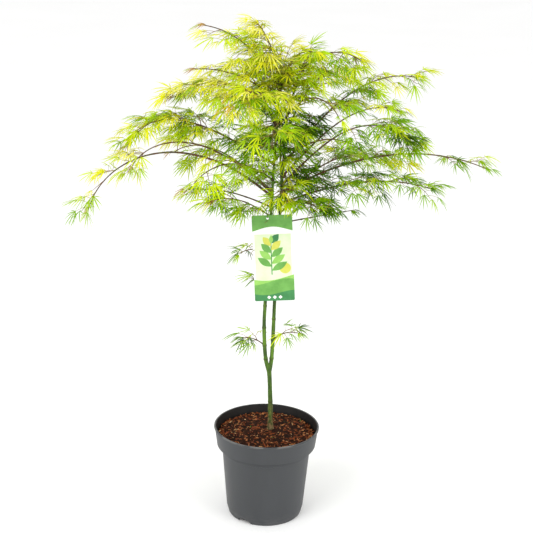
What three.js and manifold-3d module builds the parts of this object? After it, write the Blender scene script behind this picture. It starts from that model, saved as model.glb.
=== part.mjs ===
// A young Japanese maple of the cut-leaved kind, on two slim stems in a round nursery pot.
// Sizes are millimetres and +Z is up. The origin is the middle of the pot's flat underside,
// and the front is -Y. Angles are degrees: a heading turns from +X towards +Y, and a pitch
// is measured up from level.

import * as THREE from "three";
import { mergeVertices } from "three/addons/utils/BufferGeometryUtils.js";
import Module from "manifold-3d";

const wasm = await Module();
wasm.setup();

// Driving sizes
const CLEARANCE = 0.3;
const TEST_MARGIN = 0.6;

const POT = {
  height: 205,
  rimRadius: 115,
  bandFoot: 161,
  bandRadius: 108,
  neckRadius: 98.5,
  neckStep: 1.6,
  heelHeight: 16,
  heelRadius: 84.5,
  footRadius: 80.5,
  footRound: 3,
  wall: 2.4,
  lip: 1.8,
  line: 10,
  seat: 1,
  sides: 30,
};
const DRAIN = { count: 3, width: 34, height: 9.5, depth: 18, firstHeading: 236 };
const SOIL = { edgeHeight: 185, middleHeight: 194, middleRadius: 25 };

const FORK_HEIGHT = 328;
const STUB_TOP = 362;
const STEM = { sides: 8, rootRadius: 4.3, tipRadius: 1.9, tipHeight: 965, step: 60, stubSteps: 3 };

// The trunk's lean at its foot, and its radius at shares of its height
const TRUNK = {
  forkX: 3,
  lean: 5,
  forkLap: 8,
  rows: [[0, 9.5], [0.08, 6.6], [0.22, 5.6], [0.45, 5.2], [0.75, 4.9], [1, 4.9]],
};

const BOUGH = { sides: 5, step: 44, bareShare: 0.32, bareFrom: 235 };
const SPINE = { sides: 4, step: 38, rootRadius: 1.1, slimness: 280, tipRadius: 1.3 };
const TWIG = {
  sides: 3,
  step: 46,
  radius: 1,
  tipRadius: 0.8,
  spacing: 60,
  turn: [38, 64],
  lift: [0, 16],
  follow: 0.6,
  fall: [-42, -10],
  bend: 1.3,
  reach: 92,
  reachShare: 0.55,
  stretch: [0.8, 1.1],
  taper: 0.45,
};
const LEAF = {
  lobes: 5,
  lobeTurn: 36,
  heelTurn: 98,
  length: 62,
  stretch: [0.84, 1.08],
  shorter: 0.08,
  notch: 0.3,
  palm: 0.09,
  heel: 0.05,
  thick: 3,
  droop: 0.2,
  turn: [34, 66],
  sway: [-9, 9],
  hang: [0, 24],
  steepest: -58,
  roll: [-28, 28],
};

// Seeds: one for each limb, one more for each of its twigs, and a new one for each retry
const SEED = { limb: 7919, twig: 613, retry: 104729 };
const RETRIES = 6;
const COURSE_PIECES = 48;
const SEARCH_STEPS = 40;

const LABEL = {
  width: 84,
  height: 188,
  thick: 0.8,
  lean: 3.4,
  middle: [6, -20.4, 597],
  hole: 5,
  holeAside: -9,
  holeDown: 7,
};
const TIE = { radius: 0.8, gap: 0.4, rise: 15, firstTurn: -30, lastTurn: 210, sides: 5, steps: 30 };

const COLOURS = {
  pot: 0x57585a,
  soil: 0x6b4126,
  bark: 0x55701f,
  bough: 0x5c4a2c,
  lowLeaf: 0x6fa336,
  topLeaf: 0xbcc64a,
  label: 0x4f9a4b,
  tie: 0x2f6b35,
};
const LEAF_TINT = { from: 650, span: 400 };

const UP = new THREE.Vector3(0, 0, 1);

// The two stems, from the fork in the trunk to their tips
const STEMS = {
  left: stemCurve([[3, 0, FORK_HEIGHT], [-5, -2, STUB_TOP], [-10, -6, 435], [-9, -8, 500],
    [-1, -8, 696], [5, -6, 850], [11, -2, 965]]),
  right: stemCurve([[3, 0, FORK_HEIGHT], [7.5, 3, STUB_TOP], [10, 7, 440], [11, 9, 500],
    [18, 10, 696], [22, 8, 800], [27, 5, 900], [46, 4, 962]]),
};

// Each row is a limb: its name, its stem, its height on it, its heading, the pitch that it
// leaves the stem at, the pitch that it bends over to, its length, and how late it bends
const LIMB_ROWS = [
  ["left_skirt", "left", 684, 190, 35, -22, 134, 2.0],
  ["left_lower", "left", 704, 172, 22, -10, 180, 1.4],
  ["left_reach", "left", 726, 181, 40, -76, 462, 1.5],
  ["left_under", "left", 739, 190, 40, -66, 344, 2.4],
  ["left_shoulder", "left", 796, 172, 28, -73, 349, 3.0],
  ["left_high", "left", 878, 162, 74, -41, 263, 0.8],
  ["left_crown", "left", 926, 168, 38, -8, 190, 1.2],
  ["left_peak", "left", 946, 178, 62, 6, 210, 1.5],
  ["crown_top", "left", 962, 190, 80, 54, 125, 1.4],
  ["crown_right", "left", 918, 22, 82, -24, 147, 2.6],
  ["right_peak", "right", 959, 6, 85, -36, 165, 0.9],
  ["right_high", "right", 788, 8, 54, -14, 350, 2.3],
  ["right_upper", "right", 765, -8, 50, -23, 298, 3.0],
  ["right_shoulder", "right", 748, -22, 48, -58, 331, 3.0],
  ["right_reach", "right", 730, 3, 31, -24, 452, 1.3],
  ["right_lower", "right", 708, -10, 24, -16, 325, 1.7],
  ["right_skirt", "right", 664, -12, 16, 14, 157, 1.1],
  ["right_front", "right", 688, -56, 36, -17, 158, 1.5],
  ["front_right_high", "right", 892, -52, 48, -50, 190, 1.5],
  ["front_left_high", "left", 908, 238, 46, -50, 185, 1.5],
  ["front_middle", "left", 838, 268, 38, -40, 220, 1.8],
  ["front_right", "right", 800, -42, 40, -32, 240, 1.6],
  ["front_left", "left", 762, 226, 33, -38, 240, 1.8],
  ["front_low", "right", 728, -84, 32, -34, 115, 1.6],
  ["back_right_low", "right", 718, 44, 28, -36, 310, 1.8],
  ["back_low", "right", 744, 92, 30, -36, 330, 1.8],
  ["back_left_low", "left", 732, 138, 30, -36, 315, 1.8],
  ["back_right_high", "right", 850, 62, 46, -30, 300, 1.6],
  ["back_left_high", "left", 868, 118, 48, -30, 280, 1.6],
  ["sprig_low_left", "left", 394, 176, 42, -14, 50, 1.4],
  ["sprig_low_right", "right", 404, -6, 44, -14, 58, 1.4],
  ["sprig_mid_left", "left", 606, 186, 22, -36, 62, 1.4],
  ["sprig_small", "left", 538, 166, 34, -20, 32, 1.4],
];

// Numbers from a seed, each drawn between two bounds
function seeded(seed) {
  let state = seed >>> 0;
  return (low, high) => {
    state = (Math.imul(state, 1664525) + 1013904223) >>> 0;
    return low + ((high - low) * state) / 4294967296;
  };
}

function direction(heading, pitch) {
  const turn = THREE.MathUtils.degToRad(heading);
  const rise = THREE.MathUtils.degToRad(pitch);
  return new THREE.Vector3(
    Math.cos(rise) * Math.cos(turn),
    Math.cos(rise) * Math.sin(turn),
    Math.sin(rise),
  );
}

// Stems

function stemCurve(points) {
  return new THREE.CatmullRomCurve3(points.map(([x, y, z]) => new THREE.Vector3(x, y, z)));
}

// The station of a stem's curve at a height: its point and its direction there
function stemStation(curve, height) {
  let low = 0;
  let high = 1;
  for (let step = 0; step < SEARCH_STEPS; step += 1) {
    const middle = (low + high) / 2;
    if (curve.getPoint(middle).z < height) {
      low = middle;
    } else {
      high = middle;
    }
  }
  return { point: curve.getPoint(low), along: curve.getTangent(low) };
}

function stemStations(curve, bottom, top, steps, radiusAt) {
  const stations = [];
  for (let step = 0; step <= steps; step += 1) {
    const height = THREE.MathUtils.lerp(bottom, top, step / steps);
    stations.push({ ...stemStation(curve, height), radius: radiusAt(height) });
  }
  return stations;
}

// Limbs

// The pitch of a limb or twig at a share of its length
function pitchAt(limb, share) {
  return limb.rise + (limb.fall - limb.rise) * share ** limb.bend;
}

// The stations of a limb or twig between two shares of its length, about a step apart
function course(limb, from, to, step, radiusAt) {
  const steps = Math.max(1, Math.round((limb.length * (to - from)) / step));
  const stations = [];
  const point = limb.root.clone();
  let wanted = 0;
  for (let piece = 0; piece <= COURSE_PIECES; piece += 1) {
    const share = piece / COURSE_PIECES;
    while (wanted <= steps && from + ((to - from) * wanted) / steps <= share + 1e-9) {
      const exact = from + ((to - from) * wanted) / steps;
      const along = direction(limb.heading, pitchAt(limb, exact));
      const spot = point.clone().addScaledVector(along, (exact - share) * limb.length);
      stations.push({ point: spot, along, radius: radiusAt(exact), share: exact });
      wanted += 1;
    }
    const middle = direction(limb.heading, pitchAt(limb, share + 0.5 / COURSE_PIECES));
    point.addScaledVector(middle, limb.length / COURSE_PIECES);
  }
  return stations;
}

function stationAt(limb, share) {
  return course(limb, 0, share, limb.length, () => 1).at(-1);
}

function limbRadius(limb, share) {
  const root = SPINE.rootRadius + limb.length / SPINE.slimness;
  return THREE.MathUtils.lerp(root, SPINE.tipRadius, share);
}

// Solids

// A closed geometry as a solid that can be joined and cut
function solidOf(geometry) {
  const bare = geometry.clone();
  bare.deleteAttribute("normal");
  bare.deleteAttribute("uv");
  const merged = mergeVertices(bare, 1e-5);
  const mesh = new wasm.Mesh({
    numProp: 3,
    vertProperties: new Float32Array(merged.attributes.position.array),
    triVerts: new Uint32Array(merged.index.array),
  });
  return new wasm.Manifold(mesh);
}

function geometryOf(solid) {
  const mesh = solid.getMesh();
  const geometry = new THREE.BufferGeometry();
  geometry.setAttribute("position", new THREE.BufferAttribute(mesh.vertProperties, 3));
  geometry.setIndex(new THREE.BufferAttribute(mesh.triVerts, 1));
  geometry.computeVertexNormals();
  return geometry;
}

// The largest body of a solid, so that loose scraps and sealed hollows are left out
function mainBody(solid) {
  const bodies = solid.decompose();
  return bodies.reduce((best, body) => (body.volume() > best.volume() ? body : best));
}

// A tapering tube through stations, each with a point, a direction and a radius
function tubeSolid(stations, sides, extraRadius = 0) {
  const steps = stations.length - 1;
  const geometry = new THREE.CylinderGeometry(1, 1, 1, sides, steps);
  const across = [];
  let normal = new THREE.Vector3().crossVectors(stations[0].along, UP);
  if (normal.length() < 0.05) {
    normal = new THREE.Vector3(1, 0, 0);
  }
  for (const station of stations) {
    normal = normal.clone().addScaledVector(station.along, -normal.dot(station.along)).normalize();
    across.push([normal, new THREE.Vector3().crossVectors(normal, station.along)]);
  }
  const position = geometry.attributes.position;
  for (let index = 0; index < position.count; index += 1) {
    const place = Math.round((position.getY(index) + 0.5) * steps);
    const { point, radius } = stations[place];
    const vertex = point.clone();
    vertex.addScaledVector(across[place][0], position.getX(index) * (radius + extraRadius));
    vertex.addScaledVector(across[place][1], position.getZ(index) * (radius + extraRadius));
    position.setXYZ(index, vertex.x, vertex.y, vertex.z);
  }
  return solidOf(geometry);
}

// A leaf: a ball pressed flat, whose rim is pulled out to the lobes' tips and in to the
// notches between them. Its thick middle sits on the twig.
function leafSolid(leaf, margin = 0) {
  const rim = 2 * LEAF.lobes + 1;
  const geometry = new THREE.SphereGeometry(1, rim, 2);
  const along = direction(leaf.heading, leaf.pitch);
  const level = new THREE.Vector3().crossVectors(UP, along).normalize();
  const side = level.applyAxisAngle(along, THREE.MathUtils.degToRad(leaf.roll));
  const face = new THREE.Vector3().crossVectors(along, side);
  const position = geometry.attributes.position;
  for (let index = 0; index < position.count; index += 1) {
    const row = Math.floor(index / (rim + 1));
    const vertex = leaf.hub.clone();
    if (row === 1) {
      const place = (index % (rim + 1)) % rim;
      const { turn, share, drop } = rimPoint(place);
      const reach = share * leaf.length + margin;
      vertex.addScaledVector(along, reach * Math.cos(turn));
      vertex.addScaledVector(side, reach * Math.sin(turn));
      vertex.addScaledVector(UP, -drop * leaf.length);
    } else {
      vertex.addScaledVector(along, LEAF.palm * leaf.length);
      vertex.addScaledVector(face, (1 - row) * (LEAF.thick / 2 + margin));
    }
    position.setXYZ(index, vertex.x, vertex.y, vertex.z);
  }
  return solidOf(geometry);
}

// Where a leaf's rim runs: heel corners first and last, tips and notches in between
function rimPoint(place) {
  const last = 2 * LEAF.lobes;
  const lobe = (place - LEAF.lobes) / 2;
  if (place === 0 || place === last) {
    const heelTurn = THREE.MathUtils.degToRad(Math.sign(lobe) * LEAF.heelTurn);
    return { turn: heelTurn, share: LEAF.heel, drop: 0 };
  }
  const turn = THREE.MathUtils.degToRad(lobe * LEAF.lobeTurn);
  if (place % 2 === 1) {
    const share = 1 - LEAF.shorter * lobe * lobe;
    return { turn, share, drop: LEAF.droop * share * share };
  }
  return { turn, share: LEAF.notch, drop: 0 };
}

function boxOf(solid) {
  const { min, max } = solid.boundingBox();
  return new THREE.Box3(new THREE.Vector3(...min), new THREE.Vector3(...max));
}

// Whether a trial solid is clear of every piece in a list
function isClear(trial, pieces) {
  const trialBox = boxOf(trial);
  return pieces.every(({ box, solid }) => (
    !trialBox.intersectsBox(box) || trial.intersect(solid).isEmpty()
  ));
}

// Pot and soil

function ringPoint(radius, height) {
  return new THREE.Vector2(radius, height);
}

function lathe(points) {
  const geometry = new THREE.LatheGeometry(points, POT.sides);
  return solidOf(geometry.rotateX(Math.PI / 2));
}

function potSolid() {
  const { wall, lip, line, seat, neckStep } = POT;
  const ledge = POT.bandFoot + wall;
  const profile = [
    ringPoint(0, 0),
    ringPoint(POT.footRadius - POT.footRound, 0),
    ringPoint(POT.footRadius, POT.footRound),
    ringPoint(POT.heelRadius, POT.heelHeight),
    ringPoint(POT.neckRadius - neckStep, POT.bandFoot - line - 1),
    ringPoint(POT.neckRadius, POT.bandFoot - line),
    ringPoint(POT.neckRadius, POT.bandFoot),
    ringPoint(POT.bandRadius, POT.bandFoot),
    ringPoint(POT.rimRadius - lip, POT.height - 2.5 * lip),
    ringPoint(POT.rimRadius, POT.height - 1.5 * lip),
    ringPoint(POT.rimRadius, POT.height - 0.5 * lip),
    ringPoint(POT.rimRadius - 0.5 * lip, POT.height),
    ringPoint(POT.rimRadius - lip - wall, POT.height),
    ringPoint(POT.bandRadius - wall, ledge),
    ringPoint(POT.neckRadius - wall - seat, ledge),
    ringPoint(POT.heelRadius - wall, POT.heelHeight),
    ringPoint(POT.footRadius - wall, wall),
    ringPoint(0, wall),
  ];
  let pot = lathe(profile);
  for (let drain = 0; drain < DRAIN.count; drain += 1) {
    pot = pot.subtract(drainSolid(DRAIN.firstHeading + (drain * 360) / DRAIN.count));
  }
  return pot;
}

// One arched drain notch in the pot's bottom edge
function drainSolid(heading) {
  const arch = new THREE.Shape();
  arch.moveTo(-DRAIN.width / 2, -1);
  arch.lineTo(DRAIN.width / 2, -1);
  arch.absellipse(0, 0, DRAIN.width / 2, DRAIN.height, 0, Math.PI, false, 0);
  const geometry = new THREE.ExtrudeGeometry(arch, {
    depth: 2 * DRAIN.depth,
    bevelEnabled: false,
    curveSegments: 5,
  });
  geometry.rotateX(Math.PI / 2);
  geometry.translate(0, POT.footRadius + DRAIN.depth, 0);
  geometry.rotateZ(THREE.MathUtils.degToRad(heading - 90));
  return solidOf(geometry);
}

function soilSolid() {
  const { wall, lip, seat } = POT;
  const ledge = POT.bandFoot + wall + CLEARANCE;
  const bandInner = POT.bandRadius - wall - CLEARANCE;
  const rimInner = POT.rimRadius - lip - wall - CLEARANCE;
  const fillShare = (SOIL.edgeHeight - ledge) / (POT.height - ledge);
  return lathe([
    ringPoint(0, wall + CLEARANCE),
    ringPoint(POT.footRadius - wall - seat, wall + CLEARANCE),
    ringPoint(POT.heelRadius - wall - CLEARANCE, POT.heelHeight),
    ringPoint(POT.neckRadius - wall - seat - CLEARANCE, ledge),
    ringPoint(bandInner, ledge),
    ringPoint(THREE.MathUtils.lerp(bandInner, rimInner, fillShare), SOIL.edgeHeight),
    ringPoint(SOIL.middleRadius, SOIL.middleHeight),
    ringPoint(0, SOIL.middleHeight),
  ]);
}

// Trunk and stems

function stemRadius(height) {
  const share = (height - STUB_TOP) / (STEM.tipHeight - STUB_TOP);
  return THREE.MathUtils.lerp(STEM.rootRadius, STEM.tipRadius, Math.max(0, share));
}

// The trunk stands on the soil, flares at its foot and forks into two short stubs
function trunkSolid() {
  const foot = SOIL.middleHeight + CLEARANCE;
  const top = FORK_HEIGHT + TRUNK.forkLap;
  const stations = TRUNK.rows.map(([share, radius]) => ({
    point: new THREE.Vector3(
      TRUNK.forkX + TRUNK.lean * (1 - share ** 2),
      0,
      THREE.MathUtils.lerp(foot, top, share),
    ),
    along: UP,
    radius,
  }));
  let trunk = tubeSolid(stations, STEM.sides);
  for (const curve of Object.values(STEMS)) {
    const stub = stemStations(curve, FORK_HEIGHT, STUB_TOP, STEM.stubSteps, () => STEM.rootRadius);
    trunk = trunk.add(tubeSolid(stub, STEM.sides));
  }
  return trunk;
}

// A stem from its stub to its tip, or the same stem grown all round by a clearance
function stemSolid(curve, extra = 0) {
  const top = curve.getPoint(1).z;
  const steps = Math.round((top - STUB_TOP) / STEM.step);
  const stations = stemStations(curve, STUB_TOP + CLEARANCE, top, steps, stemRadius);
  if (extra > 0) {
    const tip = stations.at(-1);
    stations.push({ ...tip, point: tip.point.clone().addScaledVector(tip.along, extra) });
  }
  return tubeSolid(stations, STEM.sides, extra);
}

// Boughs and foliage

// A limb with its root on its stem's axis. A long one has a bare bough before its leafy end.
function limbOf([name, stem, height, heading, rise, fall, length, bend], index) {
  const root = stemStation(STEMS[stem], height).point;
  const bare = length > BOUGH.bareFrom ? BOUGH.bareShare : 0;
  const seed = SEED.limb * (index + 1);
  return { name, stem, heading, rise, fall, length, bend, root, bare, seed };
}

function boughSolid(limb) {
  const radiusAt = (share) => limbRadius(limb, share);
  return tubeSolid(course(limb, 0, limb.bare, BOUGH.step, radiusAt), BOUGH.sides);
}

// The leafy end's own stem, which starts just clear of the bough's tip
function spineSolid(limb) {
  const start = limb.bare > 0 ? limb.bare + CLEARANCE / limb.length : 0;
  const radiusAt = (share) => limbRadius(limb, share);
  return tubeSolid(course(limb, start, 1, SPINE.step, radiusAt), SPINE.sides);
}

// A side twig: a small limb that leaves its parent to one side and bends over sooner
function twigOf(limb, share, side, draw) {
  const spent = (share - limb.bare) / (1 - limb.bare);
  const reach = Math.min(TWIG.reach, TWIG.reachShare * limb.length);
  return {
    root: stationAt(limb, share).point,
    heading: limb.heading + side * draw(...TWIG.turn),
    rise: TWIG.follow * pitchAt(limb, share) + draw(...TWIG.lift),
    fall: draw(...TWIG.fall),
    length: reach * draw(...TWIG.stretch) * (1 - TWIG.taper * spent),
    bend: TWIG.bend,
  };
}

// A leaf at a share of a twig, turned to one side of it and hanging a little. The heel of a
// side leaf is sunk in the twig, and the palm of an end leaf encloses the twig's end.
function leafOf(twig, share, side, draw) {
  const heading = twig.heading + side * draw(...LEAF.turn) + draw(...LEAF.sway);
  const pitch = Math.max(LEAF.steepest, pitchAt(twig, share) - draw(...LEAF.hang));
  const length = LEAF.length * draw(...LEAF.stretch);
  const hub = stationAt(twig, share).point;
  if (side === 0) {
    hub.addScaledVector(direction(heading, pitch), -LEAF.palm * length);
  }
  return { hub, heading, pitch, roll: draw(...LEAF.roll), length };
}

// Tries a few seeds until a twig's or leaf's trial solid is clear of its neighbours
function firstClear(seed, make, trialOf, neighbours) {
  for (let attempt = 0; attempt < RETRIES; attempt += 1) {
    const made = make(seeded(seed + SEED.retry * attempt));
    if (isClear(trialOf(made), neighbours)) {
      return made;
    }
  }
  return null;
}

function twigTube(twig, extraRadius = 0) {
  const radiusAt = (share) => THREE.MathUtils.lerp(TWIG.radius, TWIG.tipRadius, share) + extraRadius;
  return tubeSolid(course(twig, 0, 1, TWIG.step, radiusAt), TWIG.sides);
}

// One mass of foliage: its stem, side twigs to the left and right in turn, and their leaves
function foliageSolid(limb, neighbours) {
  const parts = [spineSolid(limb)];
  const leaves = [];
  const addLeaf = (twig, share, side, seed) => {
    const leaf = firstClear(
      seed,
      (draw) => leafOf(twig, share, side, draw),
      (made) => leafSolid(made, TEST_MARGIN),
      neighbours.concat(leaves),
    );
    if (leaf) {
      const solid = leafSolid(leaf);
      parts.push(solid);
      leaves.push({ solid, box: boxOf(solid) });
    }
  };
  const leafy = limb.length * (1 - limb.bare);
  const count = Math.max(1, Math.round(leafy / TWIG.spacing));
  for (let index = 0; index < count; index += 1) {
    const share = limb.bare + ((1 - limb.bare) * (index + 0.55)) / (count + 0.35);
    const side = index % 2 === 0 ? 1 : -1;
    const seed = limb.seed + SEED.twig * (index + 1);
    const twig = firstClear(
      seed,
      (draw) => twigOf(limb, share, side, draw),
      (made) => twigTube(made, TEST_MARGIN),
      neighbours,
    );
    if (twig) {
      parts.push(twigTube(twig));
      addLeaf(twig, 1, 0, seed + 1);
      addLeaf(twig, 0.5, -side, seed + 2);
    }
  }
  addLeaf(limb, 1, 0, limb.seed + 3);
  return parts.reduce((sum, part) => sum.add(part));
}

// Label and tie

function labelSolid() {
  const { width, height, thick, hole, lean, middle } = LABEL;
  const card = new THREE.Shape();
  card.moveTo(-width / 2, -height / 2);
  card.lineTo(width / 2, -height / 2);
  card.lineTo(width / 2, height / 2);
  card.lineTo(-width / 2, height / 2);
  const opening = new THREE.Path();
  opening.absarc(LABEL.holeAside, height / 2 - LABEL.holeDown, hole / 2, 0, 2 * Math.PI, true);
  card.holes.push(opening);
  const geometry = new THREE.ExtrudeGeometry(card, {
    depth: thick,
    bevelEnabled: false,
    curveSegments: 4,
  });
  geometry.rotateX(Math.PI / 2);
  geometry.rotateY(-THREE.MathUtils.degToRad(lean));
  geometry.translate(...middle);
  return solidOf(geometry);
}

// The middle of the label's hole in the part's own frame
function labelHole() {
  const { holeAside, holeDown, height, thick } = LABEL;
  const hole = new THREE.Vector3(holeAside, -thick / 2, height / 2 - holeDown);
  hole.applyAxisAngle(new THREE.Vector3(0, 1, 0), -THREE.MathUtils.degToRad(LABEL.lean));
  return hole.add(new THREE.Vector3(...LABEL.middle));
}

// A wire loop through the label's hole, round the left stem and back over the label's top
// edge. The label hangs on it by the top of its hole.
function tieSolid() {
  const hole = labelHole();
  hole.z += LABEL.hole / 2 - TIE.radius - CLEARANCE;
  const axis = stemStation(STEMS.left, hole.z + TIE.rise / 2).point;
  const away = stemRadius(axis.z) + TIE.radius + TIE.gap;
  const top = hole.z + TIE.rise;
  const bend = LABEL.thick / 2 + 3 * TIE.radius;
  const points = [hole, new THREE.Vector3(hole.x, hole.y + bend, hole.z + 0.5)];
  for (let turn = TIE.firstTurn; turn <= TIE.lastTurn; turn += 40) {
    const angle = THREE.MathUtils.degToRad(turn);
    points.push(new THREE.Vector3(
      axis.x + away * Math.cos(angle),
      axis.y + away * Math.sin(angle),
      hole.z + (TIE.rise * (turn + 60)) / 300,
    ));
  }
  points.push(new THREE.Vector3(hole.x - 1, hole.y, top));
  points.push(new THREE.Vector3(hole.x - 1, hole.y - bend, hole.z + TIE.rise / 2));
  points.push(new THREE.Vector3(hole.x, hole.y - bend, hole.z + 1));
  const loop = new THREE.CatmullRomCurve3(points, true);
  const reference = new THREE.Vector3(0.2, 0.3, 1);
  const geometry = new THREE.TorusGeometry(1, 0.5, TIE.sides, TIE.steps);
  const position = geometry.attributes.position;
  for (let index = 0; index < position.count; index += 1) {
    const along = index % (TIE.steps + 1);
    const round = Math.floor(index / (TIE.steps + 1));
    const share = (along % TIE.steps) / TIE.steps;
    const turn = (2 * Math.PI * (round % TIE.sides)) / TIE.sides;
    const tangent = loop.getTangent(share);
    const outward = new THREE.Vector3().crossVectors(tangent, reference).normalize();
    const upward = new THREE.Vector3().crossVectors(outward, tangent);
    const vertex = loop.getPoint(share);
    vertex.addScaledVector(outward, TIE.radius * Math.cos(turn));
    vertex.addScaledVector(upward, TIE.radius * Math.sin(turn));
    position.setXYZ(index, vertex.x, vertex.y, vertex.z);
  }
  return solidOf(geometry);
}

// Assembly

const plant = new THREE.Group();
plant.name = "potted_maple";
const pieces = [];

function place(name, solid, color, roughness) {
  const material = new THREE.MeshStandardMaterial({ color, roughness, metalness: 0 });
  const mesh = new THREE.Mesh(geometryOf(solid), material);
  mesh.name = name;
  plant.add(mesh);
  pieces.push({ name, solid, box: boxOf(solid) });
}

function leafColour(height) {
  const share = THREE.MathUtils.clamp((height - LEAF_TINT.from) / LEAF_TINT.span, 0, 1);
  return new THREE.Color(COLOURS.lowLeaf).lerp(new THREE.Color(COLOURS.topLeaf), share);
}

place("pot", potSolid(), COLOURS.pot, 0.5);
place("soil", soilSolid(), COLOURS.soil, 0.95);
place("trunk", trunkSolid(), COLOURS.bark, 0.7);
place("stem_left", stemSolid(STEMS.left), COLOURS.bark, 0.7);
place("stem_right", stemSolid(STEMS.right), COLOURS.bark, 0.7);
place("label", labelSolid(), COLOURS.label, 0.4);
place("label_tie", tieSolid(), COLOURS.tie, 0.5);

const clearStems = {
  left: stemSolid(STEMS.left, CLEARANCE),
  right: stemSolid(STEMS.right, CLEARANCE),
};
const limbs = LIMB_ROWS.map(limbOf);

for (const limb of limbs.filter(({ bare }) => bare > 0)) {
  const bough = mainBody(boughSolid(limb).subtract(clearStems[limb.stem]));
  place(`bough_${limb.name}`, bough, COLOURS.bough, 0.7);
}

// Every mass keeps clear of the pieces placed so far and of the other masses' own stems
const spines = limbs.map((limb) => {
  const solid = spineSolid(limb);
  return { name: limb.name, solid, box: boxOf(solid) };
});

for (const limb of limbs) {
  const others = [...pieces, ...spines].filter(({ name }) => name !== limb.name);
  const mass = foliageSolid(limb, others).subtract(clearStems[limb.stem]);
  place(`foliage_${limb.name}`, mainBody(mass), leafColour(limb.root.z + limb.length / 4), 0.6);
}

export default plant;
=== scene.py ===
# A young cut-leaved Japanese maple on two slim stems, in a round nursery pot, dressed over
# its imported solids. Lengths are metres, +Z is up and the front is -Y. Angles are degrees:
# a heading turns from +X towards +Y, and a pitch is measured up from level.

import math

import bpy
import numpy as np
from mathutils import Matrix, Vector, noise


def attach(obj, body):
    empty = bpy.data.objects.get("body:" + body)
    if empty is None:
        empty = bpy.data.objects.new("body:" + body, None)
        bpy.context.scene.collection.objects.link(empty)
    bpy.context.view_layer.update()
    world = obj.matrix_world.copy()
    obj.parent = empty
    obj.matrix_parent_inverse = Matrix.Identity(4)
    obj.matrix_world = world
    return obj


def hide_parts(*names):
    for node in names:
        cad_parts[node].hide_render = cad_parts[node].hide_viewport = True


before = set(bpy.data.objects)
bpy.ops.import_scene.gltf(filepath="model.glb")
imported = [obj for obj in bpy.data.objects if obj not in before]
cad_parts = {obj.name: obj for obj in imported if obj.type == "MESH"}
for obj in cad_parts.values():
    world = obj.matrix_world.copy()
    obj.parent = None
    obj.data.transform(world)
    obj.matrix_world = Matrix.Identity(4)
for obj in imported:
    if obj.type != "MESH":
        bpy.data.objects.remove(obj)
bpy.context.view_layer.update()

MM = 0.001

# Camera
# It stands 2.7 m in front of the pot, a little above the crown, and looks down on the plant.

CAMERA_PLACE = (-0.008, -2.70, 1.475)
CAMERA_DOWN = 18.5
CAMERA_ROLL = 1.3
CAMERA_LENS = 91.25
CAMERA_SENSOR = 36

bpy.ops.object.camera_add()
camera = bpy.context.object
camera.name = "camera"
camera.data.lens = CAMERA_LENS
camera.data.sensor_width = CAMERA_SENSOR
down = Matrix.Rotation(math.radians(90 - CAMERA_DOWN), 4, "X")
roll = Matrix.Rotation(math.radians(CAMERA_ROLL), 4, "Z")
camera.matrix_world = Matrix.Translation(CAMERA_PLACE) @ down @ roll
bpy.context.scene.camera = camera

# Floor and light
# A plain pale floor under an even white sky, with a wide soft lamp on each side of the camera.

FLOOR_SIZE = 60
FLOOR_PATCHES = 1.5
SKY_STRENGTH = 1.0
LAMPS = {
    "lamp_left": ((-2.2, -2.6, 2.9), 2.2, 70),
    "lamp_right": ((2.6, -2.0, 2.2), 2.0, 34),
}
LAMP_AIM = Vector((0, 0, 0.7))


def paint(code):
    """A colour from its six-figure web code, in linear light."""
    levels = [int(code[place:place + 2], 16) / 255 for place in (0, 2, 4)]
    light = [v / 12.92 if v < 0.04045 else ((v + 0.055) / 1.055) ** 2.4 for v in levels]
    return (*light, 1)


def new_material(name, **sockets):
    """A material with its shader's own sockets set, such as Roughness=0.5."""
    made = bpy.data.materials.new(name)
    made.use_nodes = True
    shader = made.node_tree.nodes["Principled BSDF"]
    for label, value in sockets.items():
        shader.inputs[label.replace("_", " ")].default_value = value
    return made, made.node_tree, shader


def add_node(tree, kind, given=None, **settings):
    """A shader node with its settings and its inputs, each given as a socket or a value."""
    node = tree.nodes.new(f"ShaderNode{kind}")
    for label, value in settings.items():
        setattr(node, label, value)
    for label, value in (given or {}).items():
        if isinstance(value, bpy.types.NodeSocket):
            tree.links.new(value, node.inputs[label])
        else:
            node.inputs[label].default_value = value
    return node


def add_tone_mix(tree, factor, low, high):
    """One colour over another by a factor. Each is a socket or a paint code."""
    low, high = (paint(tone) if isinstance(tone, str) else tone for tone in (low, high))
    given = {"Factor": factor, "A": low, "B": high}
    return add_node(tree, "Mix", given, data_type="RGBA").outputs["Result"]


bpy.context.scene.view_settings.view_transform = "Standard"

world = bpy.data.worlds.new("sky")
world.use_nodes = True
sky = world.node_tree.nodes["Background"].inputs
sky["Color"].default_value = (1, 1, 1, 1)
sky["Strength"].default_value = SKY_STRENGTH
bpy.context.scene.world = world

for lamp_name, (place, size, power) in LAMPS.items():
    bpy.ops.object.light_add(type="AREA", location=place)
    lamp = bpy.context.object
    lamp.name = lamp_name
    lamp.data.size = size
    lamp.data.energy = power
    lamp.rotation_euler = (LAMP_AIM - Vector(place)).to_track_quat("-Z", "Y").to_euler()

bpy.ops.mesh.primitive_plane_add(size=FLOOR_SIZE)
floor = bpy.context.object
floor.name = "floor"
pale, tree, shader = new_material("pale floor", Roughness=0.9)
place = add_node(tree, "TexCoord").outputs["Object"]
drift = add_node(tree, "TexNoise", {"Vector": place, "Scale": FLOOR_PATCHES}).outputs["Fac"]
tree.links.new(add_tone_mix(tree, drift, "fafaf9", "ffffff"), shader.inputs["Base Color"])
floor.data.materials.append(pale)

# Pot
# A round thermoformed nursery pot in thin grey plastic, with a tall rolled band under its rim
# and arched drain notches cut through its bottom edge.

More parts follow.
